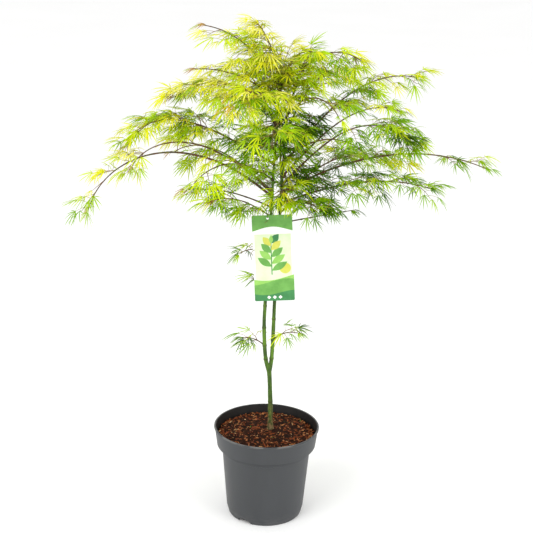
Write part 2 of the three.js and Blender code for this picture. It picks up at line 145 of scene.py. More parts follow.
POT_SIDES = 128
POT_FOOT = 80.5 * MM
POT_HEIGHT = 205 * MM
POT_LEDGE = 163.5 * MM
POT_WALL_MIDDLE = 106.9 * MM
POT_WALL_SLOPE = 0.124
POT_RINGS = [
    (77, 0), (79.2, 0.5), (80.3, 1.8), (81.2, 5), (84, 15.2), (84.9, 18.4), (95.9, 146.5),
    (96.8, 149.4), (98.2, 150.2), (98.6, 151.4), (98.6, 160.4), (99.2, 161), (105.4, 161),
    (107.2, 161.7), (108, 163.2), (112.9, 199.4), (113.5, 200.9), (114.7, 201.7), (115, 202.6),
    (115, 204), (114.5, 204.8), (113.6, 205), (111.4, 205), (110.7, 204.6), (110.3, 203.4),
    (105.7, 163.9), (105, 163.4), (95.6, 163.4), (95, 162.6), (82.2, 16.4), (78.2, 3.4),
    (77.2, 2.4), (20, 2.4),
]
DRAIN_HEADINGS = (236, 356, 116)
DRAIN_HALF_WIDTH = 17 * MM
DRAIN_RISE = 9.5 * MM
DRAIN_DEPTH = 36 * MM
POT_EDGE = 0.4 * MM
# how far down the rim's rubbed wear and painted highlight reach
RIM_WEAR_AND_HIGHLIGHT_DEPTH = 4 * MM
DUST_RISE = 30 * MM
DUST_AMOUNT = 0.14
# the softness of the painted shade's edge inside the rim
WALL_SHADE_EDGE = 0.2 * MM
SHARP_FROM = math.radians(50)
CREASE_FROM = math.radians(35)


def go(mode):
    """Goes into edit or object mode."""
    bpy.ops.object.mode_set(mode=mode)


def deselect():
    bpy.ops.object.select_all(action="DESELECT")


def pick(piece):
    """Leaves one piece selected and active."""
    deselect()
    piece.select_set(True)
    bpy.context.view_layer.objects.active = piece


def use_modifier(piece, kind, **settings):
    """Adds a modifier to a piece and applies it."""
    pick(piece)
    modifier = piece.modifiers.new(kind.lower(), kind)
    for label, value in settings.items():
        setattr(modifier, label, value)
    bpy.ops.object.modifier_apply(modifier=modifier.name)


def cut_out(piece, cutter):
    """Cuts one piece out of another and drops it."""
    use_modifier(piece, "BOOLEAN", object=cutter, operation="DIFFERENCE", solver="EXACT")
    bpy.data.objects.remove(cutter)


def soften_edges(piece, width):
    """Rounds a piece's sharp edges and shades it smooth but for its creases."""
    use_modifier(
        piece, "BEVEL", width=width, segments=2, limit_method="ANGLE", angle_limit=SHARP_FROM
    )
    bpy.ops.object.shade_smooth_by_angle(angle=CREASE_FROM)


def settle(piece, name, material, slot, *replaced):
    """Names a finished piece, gives it its material and puts it on the plant's one body."""
    piece.name = name
    piece.data.name = name
    piece.data.materials.clear()
    piece.data.materials.append(material)
    pick(piece)
    bpy.ops.object.transform_apply(location=True, rotation=True, scale=True)
    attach(piece, "root")
    if replaced:
        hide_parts(*replaced)
    return piece


def ring_walls(name, sides, rings):
    """A closed round body, raised from a disc ring by ring, each (radius, height) in mm."""
    deselect()
    radius, height = rings[0]
    bpy.ops.mesh.primitive_circle_add(
        vertices=sides, radius=radius * MM, fill_type="NGON", location=(0, 0, height * MM)
    )
    piece = bpy.context.object
    piece.name = name
    go("EDIT")
    bpy.ops.mesh.select_all(action="SELECT")
    for next_radius, next_height in rings[1:]:
        rise = (next_height - height) * MM
        share = next_radius / radius
        bpy.ops.mesh.extrude_region_move(TRANSFORM_OT_translate={"value": (0, 0, rise)})
        bpy.ops.transform.resize(value=(share, share, 1))
        radius, height = next_radius, next_height
    bpy.ops.mesh.select_all(action="SELECT")
    bpy.ops.mesh.normals_make_consistent(inside=False)
    go("OBJECT")
    return piece


pot = ring_walls("pot_wall", POT_SIDES, POT_RINGS)

for heading in DRAIN_HEADINGS:
    turn = math.radians(heading)
    deselect()
    bpy.ops.mesh.primitive_cylinder_add(
        vertices=48,
        radius=1,
        depth=DRAIN_DEPTH,
        location=(POT_FOOT * math.cos(turn), POT_FOOT * math.sin(turn), 0),
        rotation=(math.pi / 2, 0, turn - math.pi / 2),
    )
    cutter = bpy.context.object
    cutter.scale = (DRAIN_HALF_WIDTH, DRAIN_RISE, 1)
    cut_out(pot, cutter)

soften_edges(pot, POT_EDGE)


def add_math(tree, operation, *given):
    """A sum of up to three values, each a socket or a number."""
    return add_node(tree, "Math", dict(enumerate(given)), operation=operation).outputs["Value"]


def mottle_group():
    """Two tones in soft patches over the object's own place, and a fine grain on top of them."""
    group = bpy.data.node_groups.new("mottle", "ShaderNodeTree")
    sizes = {"Size": "Float", "Stretch": "Vector", "Edge": "Float", "Grain Size": "Float"}
    for way, kinds in (
        ("INPUT", {**sizes, "Low": "Color", "High": "Color"}),
        ("OUTPUT", {"Color": "Color", "Mask": "Float", "Grain": "Float"}),
    ):
        for label, kind in kinds.items():
            group.interface.new_socket(label, in_out=way, socket_type=f"NodeSocket{kind}")
    given = group.nodes.new("NodeGroupInput").outputs
    result = group.nodes.new("NodeGroupOutput").inputs
    place = add_node(group, "TexCoord").outputs["Object"]
    scale = {0: place, 1: given["Stretch"]}
    spot = add_node(group, "VectorMath", scale, operation="MULTIPLY").outputs["Vector"]
    coarse = {"Vector": spot, "Scale": given["Size"], "Detail": 4, "Roughness": 0.62}
    fine = {"Vector": spot, "Scale": given["Grain Size"], "Detail": 3}
    spread = {
        "Value": add_node(group, "TexNoise", coarse).outputs["Fac"],
        "From Min": add_math(group, "SUBTRACT", 0.5, given["Edge"]),
        "From Max": add_math(group, "ADD", 0.5, given["Edge"]),
    }
    mask = add_node(group, "MapRange", spread).outputs["Result"]
    tones = {"Factor": mask, "A": given["Low"], "B": given["High"]}
    made = {
        "Color": add_node(group, "Mix", tones, data_type="RGBA").outputs["Result"],
        "Mask": mask,
        "Grain": add_node(group, "TexNoise", fine).outputs["Fac"],
    }
    for label, socket in made.items():
        group.links.new(socket, result[label])
    return group


mottle = mottle_group()


def add_mottle(tree, low, high, size, grain_size, stretch=(1, 1, 1), edge=0.12):
    """Puts the mottle group in a material with its own values."""
    given = {
        "Size": size, "Stretch": stretch, "Edge": edge, "Grain Size": grain_size,
        "Low": paint(low), "High": paint(high),
    }
    return add_node(tree, "Group", given, node_tree=mottle)


def add_range(tree, value, low, high, from_low=0.0, from_high=1.0):
    """A value spread from one range to another."""
    given = {
        "Value": value, "From Min": from_low, "From Max": from_high, "To Min": low, "To Max": high,
    }
    return add_node(tree, "MapRange", given).outputs["Result"]


def add_skin(tree, shader, body, tones, gloss, bump, strength=1.0):
    """Wires a shader's colour, its roughness over a mottle's mask and a bump from its grain."""
    if tones:
        tree.links.new(tones, shader.inputs["Base Color"])
    if gloss:
        tree.links.new(add_range(tree, body.outputs["Mask"], *gloss), shader.inputs["Roughness"])
    grain = {"Height": body.outputs["Grain"], "Distance": bump, "Strength": strength}
    tree.links.new(add_node(tree, "Bump", grain).outputs["Normal"], shader.inputs["Normal"])


def add_place(tree):
    """A place on the piece in its own frame, and its height, as two sockets."""
    place = add_node(tree, "TexCoord").outputs["Object"]
    return place, add_node(tree, "SeparateXYZ", {"Vector": place}).outputs["Z"]


plastic, tree, shader = new_material("grey moulded plastic", Specular_IOR_Level=0.4)
body = add_mottle(tree, "36383a", "3f4144", 9, 2600, stretch=(1, 1, 0.35), edge=0.2)
scuffs = add_mottle(tree, "000000", "ffffff", 34, 900, stretch=(1, 1, 3), edge=0.05)
place, height = add_place(tree)
# the top of the rim is lighter in patches, partly rubbed wear and partly a painted highlight on
# the rolled rim; the foot is lighter with dust
rim_wear_and_highlight = add_range(tree, height, 0, 0.55, POT_HEIGHT - RIM_WEAR_AND_HIGHLIGHT_DEPTH, POT_HEIGHT)
dust = add_range(tree, height, DUST_AMOUNT, 0, 0, DUST_RISE)
wear_dust_and_highlight = add_math(tree, "MAXIMUM", rim_wear_and_highlight, dust)
patchy = add_math(tree, "MULTIPLY", wear_dust_and_highlight, scuffs.outputs["Mask"])
tones = add_tone_mix(tree, patchy, body.outputs["Color"], "7d7c78")
# inside the rim the wall is painted near black, as painted shade in the pot's hollow and for the
# dark inner layer of its plastic: nearer the axis than the wall's own middle
flat = add_node(tree, "VectorMath", {0: place, 1: (1, 1, 0)}, operation="MULTIPLY")
reach = add_node(tree, "VectorMath", {0: flat.outputs["Vector"]}, operation="LENGTH")
slope = add_math(tree, "MULTIPLY_ADD", height, -POT_WALL_SLOPE, reach.outputs["Value"])
wall = POT_WALL_MIDDLE - POT_WALL_SLOPE * POT_LEDGE
inner_side = add_range(tree, slope, 1, 0, wall - WALL_SHADE_EDGE, wall + WALL_SHADE_EDGE)
above = add_range(tree, height, 0, 1, POT_LEDGE - 0.5 * MM, POT_LEDGE)
inside = add_math(tree, "MULTIPLY", inner_side, above)
# painted shade: the near-black tones of the inner wall
painted_wall_shade = add_mottle(tree, "100f0e", "1c1917", 55, 900, edge=0.15)
tones = add_tone_mix(tree, inside, tones, painted_wall_shade.outputs["Color"])
add_skin(tree, shader, body, tones, (0.42, 0.56), 0.08 * MM, 0.5)
settle(pot, "pot", plastic, "pot", "pot")

# Potting soil
# Dark peaty compost that fills the pot to just under its rim, a little higher round the trunk.

SOIL_SIDES = 96
SOIL_RINGS = [
    (60, 3.2), (74, 3.4), (79.4, 16.6), (93.2, 162), (104, 164.6), (107.6, 184), (104, 185.6),
    (98, 186.4), (91, 187.2), (84, 188), (77, 188.8), (70, 189.6), (63, 190.3), (56, 191),
    (49, 191.6), (42, 192.2), (35, 192.8), (28, 193.3), (21, 193.7), (14, 193.9), (7, 194),
    (2, 194),
]
SOIL_ROUGH = 1.6 * MM
SOIL_LUMPS = 70
SOIL_TOP_FROM = 183 * MM


def soil_height(x, y):
    """The height of the compost's rough surface at a place."""
    reach = math.hypot(x, y) / MM
    rings = [(radius, height) for radius, height in SOIL_RINGS if height * MM > SOIL_TOP_FROM]
    radii = [radius for radius, height in reversed(rings)]
    heights = [height for radius, height in reversed(rings)]
    level = float(np.interp(reach, radii, heights)) * MM
    return level + SOIL_ROUGH * noise.noise(Vector((x, y, 0)) * SOIL_LUMPS)


def smooth(piece):
    """Shades a piece smooth all over."""
    pick(piece)
    bpy.ops.object.shade_smooth()


def mottled(name, low, high, size, grain_size, bump, gloss=None, edge=0.12, **sockets):
    """A material in two mottled tones with a fine grain, its roughness even or from a range."""
    made, tree, shader = new_material(name, **sockets)
    body = add_mottle(tree, low, high, size, grain_size, edge=edge)
    add_skin(tree, shader, body, body.outputs["Color"], gloss, bump)
    return made


soil = ring_walls("soil_body", SOIL_SIDES, SOIL_RINGS)
for vertex in soil.data.vertices:
    if vertex.co.z > SOIL_TOP_FROM + 1 * MM:
        vertex.co.z = soil_height(vertex.co.x, vertex.co.y)
smooth(soil)
compost = mottled(
    "dark compost", "150a05", "341a0c", 260, 1800, 0.8 * MM,
    edge=0.08, Roughness=0.95, Specular_IOR_Level=0.1,
)
settle(soil, "soil", compost, "soil", "soil")

# Bark chips
# Shredded bark laid over the compost as a mulch: thin split slivers of reddish brown, tan and
# pale wood, lying every way and a little over one another, with a few specks of moss.

CHIP_SEED = 41
CHIP_FIELD = 106.5 * MM
CHIP_TRUNK_GAP = 7 * MM
CHIP_RIM_OVERLAP = 1.5 * MM
CHIP_WIDTHS = (0.22, 0.42)
CHIP_THICKS = (0.7, 1.7)
CHIP_TILT = 13
CHIP_ROLL = 22
CHIP_LIFTS = (0.2, 3.4)
CHIP_TONES = {
    "dark": (950, "200f09", "432213", (4, 10)),
    "rust": (1300, "552513", "82421f", (5, 14)),
    "tan": (620, "7c4a2a", "ad7143", (5, 14)),
    "pale": (130, "a67c52", "d0ad80", (4, 11)),
}
MOSS_SPECKS = 7
MOSS_BLADE = ((2.4, 4.2), 0.9, 0.35)
MOSS_LIFT = 4 * MM
TRUNK_FOOT_X = 8 * MM


def taken_mesh(piece):
    """A piece's points and faces. The piece itself is dropped."""
    points = np.array([vertex.co for vertex in piece.data.vertices])
    faces = [tuple(face.vertices) for face in piece.data.polygons]
    bpy.data.objects.remove(piece)
    return points, faces


def chip_shape(bow, taper):
    """A split sliver one unit long, thinner and turned at both ends, as vertices and faces."""
    deselect()
    bpy.ops.mesh.primitive_cylinder_add(
        vertices=5, radius=0.5, depth=0.3, rotation=(0, math.pi / 2, 0)
    )
    piece = bpy.context.object
    bpy.ops.object.transform_apply(rotation=True)
    for end in (-1, 1):
        go("OBJECT")
        for face in piece.data.polygons:
            face.select = face.normal.x * end > 0.9
        go("EDIT")
        bpy.ops.mesh.select_mode(type="FACE")
        bpy.ops.mesh.extrude_region_move(TRANSFORM_OT_translate={"value": (0.35 * end, 0, bow)})
        bpy.ops.transform.resize(value=(1, taper, taper))
    go("OBJECT")
    return taken_mesh(piece)


def joined_mesh(name, chunks):
    """One piece from many small meshes, each given as its points and its faces."""
    points = []
    faces = []
    count = 0
    for chunk_points, chunk_faces in chunks:
        points.append(chunk_points)
        faces.extend([tuple(index + count for index in face) for face in chunk_faces])
        count += len(chunk_points)
    mesh = bpy.data.meshes.new(name)
    mesh.from_pydata(np.vstack(points).tolist(), [], faces)
    mesh.update()
    piece = bpy.data.objects.new(name, mesh)
    bpy.context.scene.collection.objects.link(piece)
    return piece


def turned(points, *turns):
    """Points turned about X, Y or Z in order, by angles in degrees."""
    for axis, angle in turns:
        points = points @ np.array(Matrix.Rotation(math.radians(angle), 3, axis)).T
    return points


chip_shapes = [chip_shape(0.04, 0.45), chip_shape(-0.05, 0.3), chip_shape(0.1, 0.6)]
chips = np.random.default_rng(CHIP_SEED)


def field_place(low, high):
    """A place drawn on the compost between two shares of its area, after its reach."""
    reach = CHIP_FIELD * math.sqrt(chips.uniform(low, high))
    turn = chips.uniform(0, 2 * math.pi)
    return reach, reach * math.cos(turn), reach * math.sin(turn)


for tone, (count, low, high, (shortest, longest)) in CHIP_TONES.items():
    chunks = []
    while len(chunks) < count:
        reach, x, y = field_place(0, 1)
        length = chips.uniform(shortest, longest) * MM
        width = length * chips.uniform(*CHIP_WIDTHS)
        thick = chips.uniform(*CHIP_THICKS) * MM
        tilt, roll = chips.normal(0, CHIP_TILT), chips.normal(0, CHIP_ROLL)
        spin = chips.uniform(0, 360)
        lift = chips.uniform(*CHIP_LIFTS) * MM
        by_trunk = math.hypot(x - TRUNK_FOOT_X, y) < CHIP_TRUNK_GAP
        if by_trunk or reach + length / 2 > CHIP_FIELD + CHIP_RIM_OVERLAP:
            continue
        points, faces = chip_shapes[len(chunks) % len(chip_shapes)]
        placed = turned(points * (length, width, thick), ("X", roll), ("Y", tilt), ("Z", spin))
        chunks.append((placed + (x, y, soil_height(x, y) + lift), faces))
    bark = mottled(
        f"{tone} bark chips", low, high, 190, 2400, 0.3 * MM, (0.6, 0.85),
        edge=0.1, Specular_IOR_Level=0.12,
    )
    settle(joined_mesh(f"chips_{tone}", chunks), f"chips_{tone}", bark, "soil")

chunks = []
lengths, width, thick = MOSS_BLADE
for _ in range(MOSS_SPECKS):
    reach, x, y = field_place(0.02, 0.96)
    for points, faces in chip_shapes:
        size = np.array((chips.uniform(*lengths), width, thick)) * MM
        placed = turned(points * size, ("Y", -chips.uniform(15, 70)), ("Z", chips.uniform(0, 360)))
        chunks.append((placed + (x, y, soil_height(x, y) + MOSS_LIFT), faces))
moss = joined_mesh("moss", chunks)
green = mottled("moss specks", "3f7a1d", "6fae34", 150, 2200, 0.2 * MM, Roughness=0.8)
settle(moss, "moss", green, "soil")

# Trunk and stems
# The short trunk flares at the compost and forks into two green stems about as thick as a
# pencil. Their young bark has fine ridges along it and a dark ring at every joint.

FORK_HEIGHT = 328
STUB_TOP = 362
TRUNK_FOOT = 192.5
TRUNK_TOP = 336
TRUNK_X = 3
TRUNK_LEAN = 5
TRUNK_STEPS = 70
TRUNK_SIDES = 28
TRUNK_JOINTS = [262]
TRUNK_ROWS = [(0, 8.4), (0.08, 6.3), (0.22, 5.5), (0.45, 5.2), (0.75, 4.9), (1, 4.9)]
FLARE_RISE = 7
FLARE_DEPTH = 0.16
FLARE_RIDGES = 4
FLARE_TURN = 0.7
FORK_VOXEL = 0.75 * MM
STUB_STEPS = 20
STUB_SPARE = 0.15
STEM_ROOT_RADIUS = 4.3
STEM_TIP_RADIUS = 1.9
STEM_TOP = 965
STEM_SIDES = 20
STEM_STEP = 2 * MM
LINE_STEPS = 30
# The bark's ridges, coarse and fine: how close round the stem and along it, and how deep
RIDGES = (1.6, 45, 0.085)
FINE_RIDGES = (4, 160, 0.05)
JOINT_REACH = 2.2
TRUNK_SWELL = 0.09
STEM_SWELL = 0.2
CROWN_FOOT = 660
SCAR_WAVE = 1.1
SCAR_WAVES = 600
SCAR_CORE = 1.3
SCAR_WIDTH = 0.9
SCAR_DEPTH = 0.85
AGED_BARK = (0.19, 0.275)
STEM_POINTS = {
    "left": [(TRUNK_X, 0, FORK_HEIGHT), (-5, -2, STUB_TOP), (-10, -6, 435), (-9, -8, 500),
             (-1, -8, 696), (5, -6, 850), (11, -2, 965)],
    "right": [(TRUNK_X, 0, FORK_HEIGHT), (7.5, 3, STUB_TOP), (10, 7, 440), (11, 9, 500),
              (18, 10, 696), (22, 8, 800), (27, 5, 900), (46, 4, 962)],
}
# The joints below the crown, as heights. Those in the crown are where the limbs leave.
STEM_JOINTS = {
    "left": [362, 394, 436, 486, 538, 572, 606, 648],
    "right": [362, 404, 451, 498, 548, 594, 632],
}

# Each limb's name, its stem, its height on it, its heading, the pitch that it leaves the stem
# at, the pitch that it bends over to, its length in mm, how late it bends, and its growth.
# That is how leafy it is at its stem and at its tip, the part of its leaves that it has kept,
# and how many degrees its added twigs are lifted. Over 1 it carries more twigs, at the
# quarters between joints; under 0 it is bare there.
LIMB_ROWS = [
    ("left_skirt", "left", 684, 190, 35, -22, 134, 2.0, (-0.1, 1.8, 1, -40)),
    ("left_lower", "left", 704, 172, 22, -10, 180, 1.4, (-0.9, 0.8, 0.9, 0)),
    ("left_reach", "left", 726, 181, 40, -76, 462, 1.5, (-0.4, 0.4, 0.7, 0)),
    ("left_under", "left", 739, 190, 40, -66, 344, 2.4, (-0.8, 0.45, 0.8, 0)),
    ("left_shoulder", "left", 796, 172, 28, -73, 349, 3.0, (3.6, 0.6, 0.95, -10)),
    ("left_high", "left", 878, 162, 74, -41, 263, 0.8, (1.3, 0.6, 0.85, -24)),
    ("left_crown", "left", 926, 168, 38, -8, 190, 1.2, (0.4, -1, 0.4, -10)),
    ("left_peak", "left", 946, 178, 62, 6, 210, 1.5, (1, 0, 0.6, 0)),
    ("crown_top", "left", 962, 190, 80, 54, 125, 1.4, (2, 2, 1, -16)),
    ("crown_right", "left", 918, 22, 82, -24, 147, 2.6, (0.8, -0.5, 0.6, -60)),
    ("right_peak", "right", 959, 6, 85, -36, 165, 0.9, (0.3, 1, 0.55, -66)),
    ("right_high", "right", 788, 8, 54, -14, 350, 2.3, (1, 0.3, 0.92, 0)),
    ("right_upper", "right", 765, -8, 50, -23, 298, 3.0, (-1.2, 0.5, 0.85, 8)),
    ("right_shoulder", "right", 748, -22, 48, -58, 331, 3.0, (-3.6, 2.8, 1, 0)),
    ("right_reach", "right", 730, 3, 31, -24, 452, 1.3, (1.2, -0.28, 0.85, -20)),
    ("right_lower", "right", 708, -10, 24, -16, 325, 1.7, (1.3, 0.5, 0.8, 14)),
    ("right_skirt", "right", 664, -12, 16, 14, 157, 1.1, (-0.3, 0.1, 0.6, -10)),
    ("right_front", "right", 688, -56, 36, -17, 158, 1.5, (0.6, 1.2, 1, 0)),
    ("front_right_high", "right", 892, -52, 48, -50, 190, 1.5, (0.2, -0.2, 0.6, 20)),
    ("front_left_high", "left", 908, 238, 46, -50, 185, 1.5, (0.4, 1.6, 0.9, -6)),
    ("front_middle", "left", 838, 268, 38, -40, 220, 1.8, (0.3, 0.3, 0.7, 8)),
    ("front_right", "right", 800, -42, 40, -32, 240, 1.6, (-0.5, 0, 0.35, 0)),
    ("front_left", "left", 762, 226, 33, -38, 240, 1.8, (0.8, -0.1, 0.85, -10)),
    ("front_low", "right", 728, -84, 32, -34, 115, 1.6, (0.2, 0.4, 0.9, -10)),
    ("back_right_low", "right", 718, 44, 28, -36, 310, 1.8, (0.5, 0.4, 0.85, 0)),
    ("back_low", "right", 744, 92, 30, -36, 330, 1.8, (0.4, 0.3, 0.8, 0)),
    ("back_left_low", "left", 732, 138, 30, -36, 315, 1.8, (0, 0.2, 0.6, 0)),
    ("back_right_high", "right", 850, 62, 46, -30, 300, 1.6, (0.2, 0.9, 0.9, 0)),
    ("back_left_high", "left", 868, 118, 48, -30, 280, 1.6, (0.6, 0.3, 0.8, -8)),
    ("sprig_low_left", "left", 394, 176, 42, -14, 50, 1.4, (1, 0.7, 1, 0)),
    ("sprig_low_right", "right", 404, -6, 44, -14, 58, 1.4, (1, 0.7, 1, 0)),
    ("sprig_mid_left", "left", 606, 186, 22, -36, 62, 1.4, (1, 0.7, 1, 0)),
    ("sprig_small", "left", 538, 166, 34, -20, 32, 1.4, (1, 0.7, 1, 0)),
]


def stem_line(points):
    """Close points along a stem's smooth line, which eases from each given point to the next."""
    points = np.array(points, float)
    padded = np.vstack([2 * points[0] - points[1], points, 2 * points[-1] - points[-2]])
    line = []
    for before, start, end, after in zip(padded, padded[1:], padded[2:], padded[3:]):
        span = end - start
        spans = (start - before, span, after - end)
        first, middle, last = (np.linalg.norm(step) ** 0.5 for step in spans)
        leave = middle * ((start - before) / first - (end - before) / (first + middle)) + span
        arrive = span - middle * ((after - start) / (middle + last) - (after - end) / last)
        for t in np.linspace(0, 1, LINE_STEPS, endpoint=False):
            square = 3 * span - 2 * leave - arrive
            cube = 2 * (start - end) + leave + arrive
            line.append(start + leave * t + square * t**2 + cube * t**3)
    line.append(points[-1])
    return np.array(line) * MM


stem_lines = {name: stem_line(points) for name, points in STEM_POINTS.items()}


def stem_place(stem, heights):
    """Points of a stem's line at heights in metres."""
    line = stem_lines[stem]
    heights = np.atleast_1d(heights)
    across = [np.interp(heights, line[:, 2], line[:, axis]) for axis in (0, 1)]
    return np.column_stack([*across, heights])


def tube(points, radii, level, sides, relief=None):
    """A tapering tube with closed ends, as points and faces. level lies across all of it."""
    points = np.array(points, float)
    level = np.array(level, float)
    along = np.gradient(points, axis=0)
    along /= np.linalg.norm(along, axis=1)[:, None]
    lift = np.cross(level, along)
    lift /= np.linalg.norm(lift, axis=1)[:, None]
    across = np.cross(along, lift)
    turns = np.arange(sides) * 2 * math.pi / sides
    reach = np.repeat(np.array(radii, float)[:, None], sides, axis=1)
    if relief is not None:
        reach = relief(points, turns, reach)
    flat, upright = (wave(turns)[None, :, None] for wave in (np.cos, np.sin))
    ring = flat * across[:, None] + upright * lift[:, None]
    rings = (points[:, None] + reach[:, :, None] * ring).reshape(-1, 3)
    faces = []
    for row in range(len(points) - 1):
        for side in range(sides):
            near, far = row * sides, (row + 1) * sides
            beside = (side + 1) % sides
            faces.append((near + side, near + beside, far + beside, far + side))
    faces.append(tuple(range(sides))[::-1])
    last = (len(points) - 1) * sides
    faces.append(tuple(range(last, last + sides)))
    return rings, faces


def bark_relief(points, turns, reach):
    """Pushes a tube's wall in and out in ridges that run along it."""
    moved = reach.copy()
    for row, point in enumerate(points):
        for column, turn in enumerate(turns):
            swell = 1
            for close, along, depth in (RIDGES, FINE_RIDGES):
                spot = (math.cos(turn) * close, math.sin(turn) * close, point[2] * along)
                swell += depth * noise.noise(spot)
            moved[row, column] *= swell
    return moved


def joint_swell(heights, joints, size, spread):
    """How much thicker a stem is at each height, for the rings at its joints."""
    swell = np.ones(len(heights))
    for joint in joints:
        swell += size * np.exp(-(((heights - joint) / spread) ** 2))
    return swell


# The fork is one body: a tube up to the fork and two stubs, remeshed together
shares = np.linspace(0, 1, TRUNK_STEPS)
rise = TRUNK_FOOT + (TRUNK_TOP - TRUNK_FOOT) * shares
lean = TRUNK_X + TRUNK_LEAN * (1 - shares**2)
foot_points = np.column_stack([lean, np.zeros(TRUNK_STEPS), rise]) * MM
foot_radii = np.interp(shares, *zip(*TRUNK_ROWS)) * MM
foot_radii *= joint_swell(rise, TRUNK_JOINTS, TRUNK_SWELL, JOINT_REACH)


def root_flare(points, turns, reach):
    """Low ridges that run out into the roots, over the bark's own relief."""
    moved = bark_relief(points, turns, reach)
    for row, point in enumerate(points):
        fade = math.exp(-(point[2] / MM - TRUNK_FOOT) / FLARE_RISE)
        moved[row] *= 1 + FLARE_DEPTH * fade * np.cos(FLARE_RIDGES * turns + FLARE_TURN)
    return moved


chunks = [tube(foot_points, foot_radii, (1, 0, 0), TRUNK_SIDES, root_flare)]
for stem in STEM_POINTS:
    heights = np.linspace(FORK_HEIGHT - 4, STUB_TOP, STUB_STEPS) * MM
    stub = stem_place(stem, np.maximum(heights, FORK_HEIGHT * MM))
    stub[:, 2] = heights
    radii = np.full(STUB_STEPS, (STEM_ROOT_RADIUS + STUB_SPARE) * MM)
    chunks.append(tube(stub, radii, (1, 0, 0), STEM_SIDES, bark_relief))
trunk = joined_mesh("trunk", chunks)
use_modifier(trunk, "REMESH", mode="VOXEL", voxel_size=FORK_VOXEL)
use_modifier(trunk, "SMOOTH", factor=0.5, iterations=3)
smooth(trunk)


def mark_scars(piece, joints):
    """Stores how near each vertex is to a joint's scar, which waves a little round the stem."""
    scar = piece.data.attributes.new("scar", "FLOAT", "POINT")
    for vertex in piece.data.vertices:
        wobble = SCAR_WAVE * noise.noise(Vector((vertex.co.x, vertex.co.y, 0)) * SCAR_WAVES)
        gap = min(abs(vertex.co.z / MM - joint + wobble) for joint in joints)
        scar.data[vertex.index].value = max(0, min(SCAR_DEPTH, SCAR_CORE - gap / SCAR_WIDTH))


mark_scars(trunk, TRUNK_JOINTS)


def stem_radius(heights):
    """A stem's radius at heights, both in mm."""
    share = np.clip((heights - STUB_TOP) / (STEM_TOP - STUB_TOP), 0, 1)
    return STEM_ROOT_RADIUS + (STEM_TIP_RADIUS - STEM_ROOT_RADIUS) * share


stems = {}
for stem, line in stem_lines.items():
    heights = np.arange((STUB_TOP - 3) * MM, line[-1, 2], STEM_STEP)
    limb_heights = [row[2] for row in LIMB_ROWS if row[1] == stem and row[2] > CROWN_FOOT]
    joints = STEM_JOINTS[stem] + limb_heights
    radii = stem_radius(heights / MM) * MM
    radii *= joint_swell(heights / MM, joints, STEM_SWELL, JOINT_REACH)
    wall = tube(stem_place(stem, heights), radii, (1, 0, 0), STEM_SIDES, bark_relief)
    stems[stem] = joined_mesh(f"stem_{stem}", [wall])
    mark_scars(stems[stem], joints)
    smooth(stems[stem])


# young green bark with grey-green streaks, brown near the ground and dark at the joints
young_bark, tree, shader = new_material("young green bark", Specular_IOR_Level=0.35)
skin = add_mottle(tree, "2f4a0f", "5b7f1f", 150, 1500, stretch=(1, 1, 0.22))
foot = add_mottle(tree, "35381d", "866448", 230, 1500, stretch=(1, 1, 0.5), edge=0.06)
aged = add_range(tree, add_place(tree)[1], 1, 0, *AGED_BARK)
tones = add_tone_mix(tree, aged, skin.outputs["Color"], foot.outputs["Color"])
scar = add_node(tree, "Attribute", attribute_name="scar")
tones = add_tone_mix(tree, scar.outputs["Fac"], tones, "3a2115")
add_skin(tree, shader, skin, tones, (0.5, 0.68), 0.25 * MM)
settle(trunk, "trunk", young_bark, "bark", "trunk")
for stem, piece in stems.items():
    settle(piece, f"stem_{stem}", young_bark, "bark", f"stem_{stem}")

# Boughs
# The limbs leave the stems upwards and arch over. Each is one tapering rod of dark brown and
# olive bark, a little bent and thickened at every joint, and runs on to its leafy tip.

BARE_SHARE = 0.32
BARE_FROM = 235
LIMB_RADIUS = 1.1
LIMB_SLENDER = 280
LIMB_SEED = 7919
LIMB_STEP = 3 * MM
BOUGH_TIP = 0.9 * MM
BOUGH_SIDES = 10
BOUGH_SWELL = 0.3
BOUGH_JOINT_REACH = 1.5 * MM
COLLAR_SWELL = 0.7
COLLAR_REACH = 7 * MM
TWIG_SPACING = 60
FIRST_TWIG = 0.55
SPARE_TIP = 0.35
WALK_PIECES = 48
KINK = 1.3 * MM
KINK_SEED = 17


def seeded(seed):
    """Numbers drawn one after another from a seed, each between two bounds."""
    state = seed % 2**32

    def draw(low, high):
        nonlocal state
        state = (state * 1664525 + 1013904223) % 2**32
        return low + (high - low) * state / 2**32

    return draw


def direction(heading, pitch):
    """Unit vectors from headings and pitches."""
    turn, rise = np.radians(heading), np.radians(pitch)
    level = np.cos(rise)
    return np.stack([level * np.cos(turn), level * np.sin(turn), np.sin(rise) + 0 * turn], axis=-1)


def pitch_at(shoot, share):
    """The pitch of a limb or twig at a share of its length."""
    return shoot["rise"] + (shoot["fall"] - shoot["rise"]) * share ** shoot["bend"]


def walk(shoot, shares):
    """The points of a limb or twig at shares of its length."""
    middles = (np.arange(WALK_PIECES) + 0.5) / WALK_PIECES
    steps = direction(np.full(WALK_PIECES, shoot["heading"]), pitch_at(shoot, middles))
    line = np.vstack([np.zeros(3), np.cumsum(steps, axis=0)]) * shoot["length"] / WALK_PIECES
    marks = np.linspace(0, 1, WALK_PIECES + 1)
    moves = np.column_stack([np.interp(shares, marks, line[:, axis]) for axis in range(3)])
    return shoot["root"] + moves


def across_from(heading):
    """The level direction to the right of a heading."""
    turn = math.radians(heading)
    return np.array((math.sin(turn), -math.cos(turn), 0))


def limb_of(index, row):
    """A limb with its root on its stem's line."""
    name, stem, height, heading, rise, fall, length, bend, growth = row
    return {
        "name": name,
        "root": stem_place(stem, height * MM)[0],
        "heading": heading,
        "rise": rise,
        "fall": fall,
        "length": length * MM,
        "bend": bend,
        "growth": growth,
        "bare": BARE_SHARE if length > BARE_FROM else 0,
        "radius": (LIMB_RADIUS + length / LIMB_SLENDER) * MM,
        "seed": LIMB_SEED * (index + 1),
    }


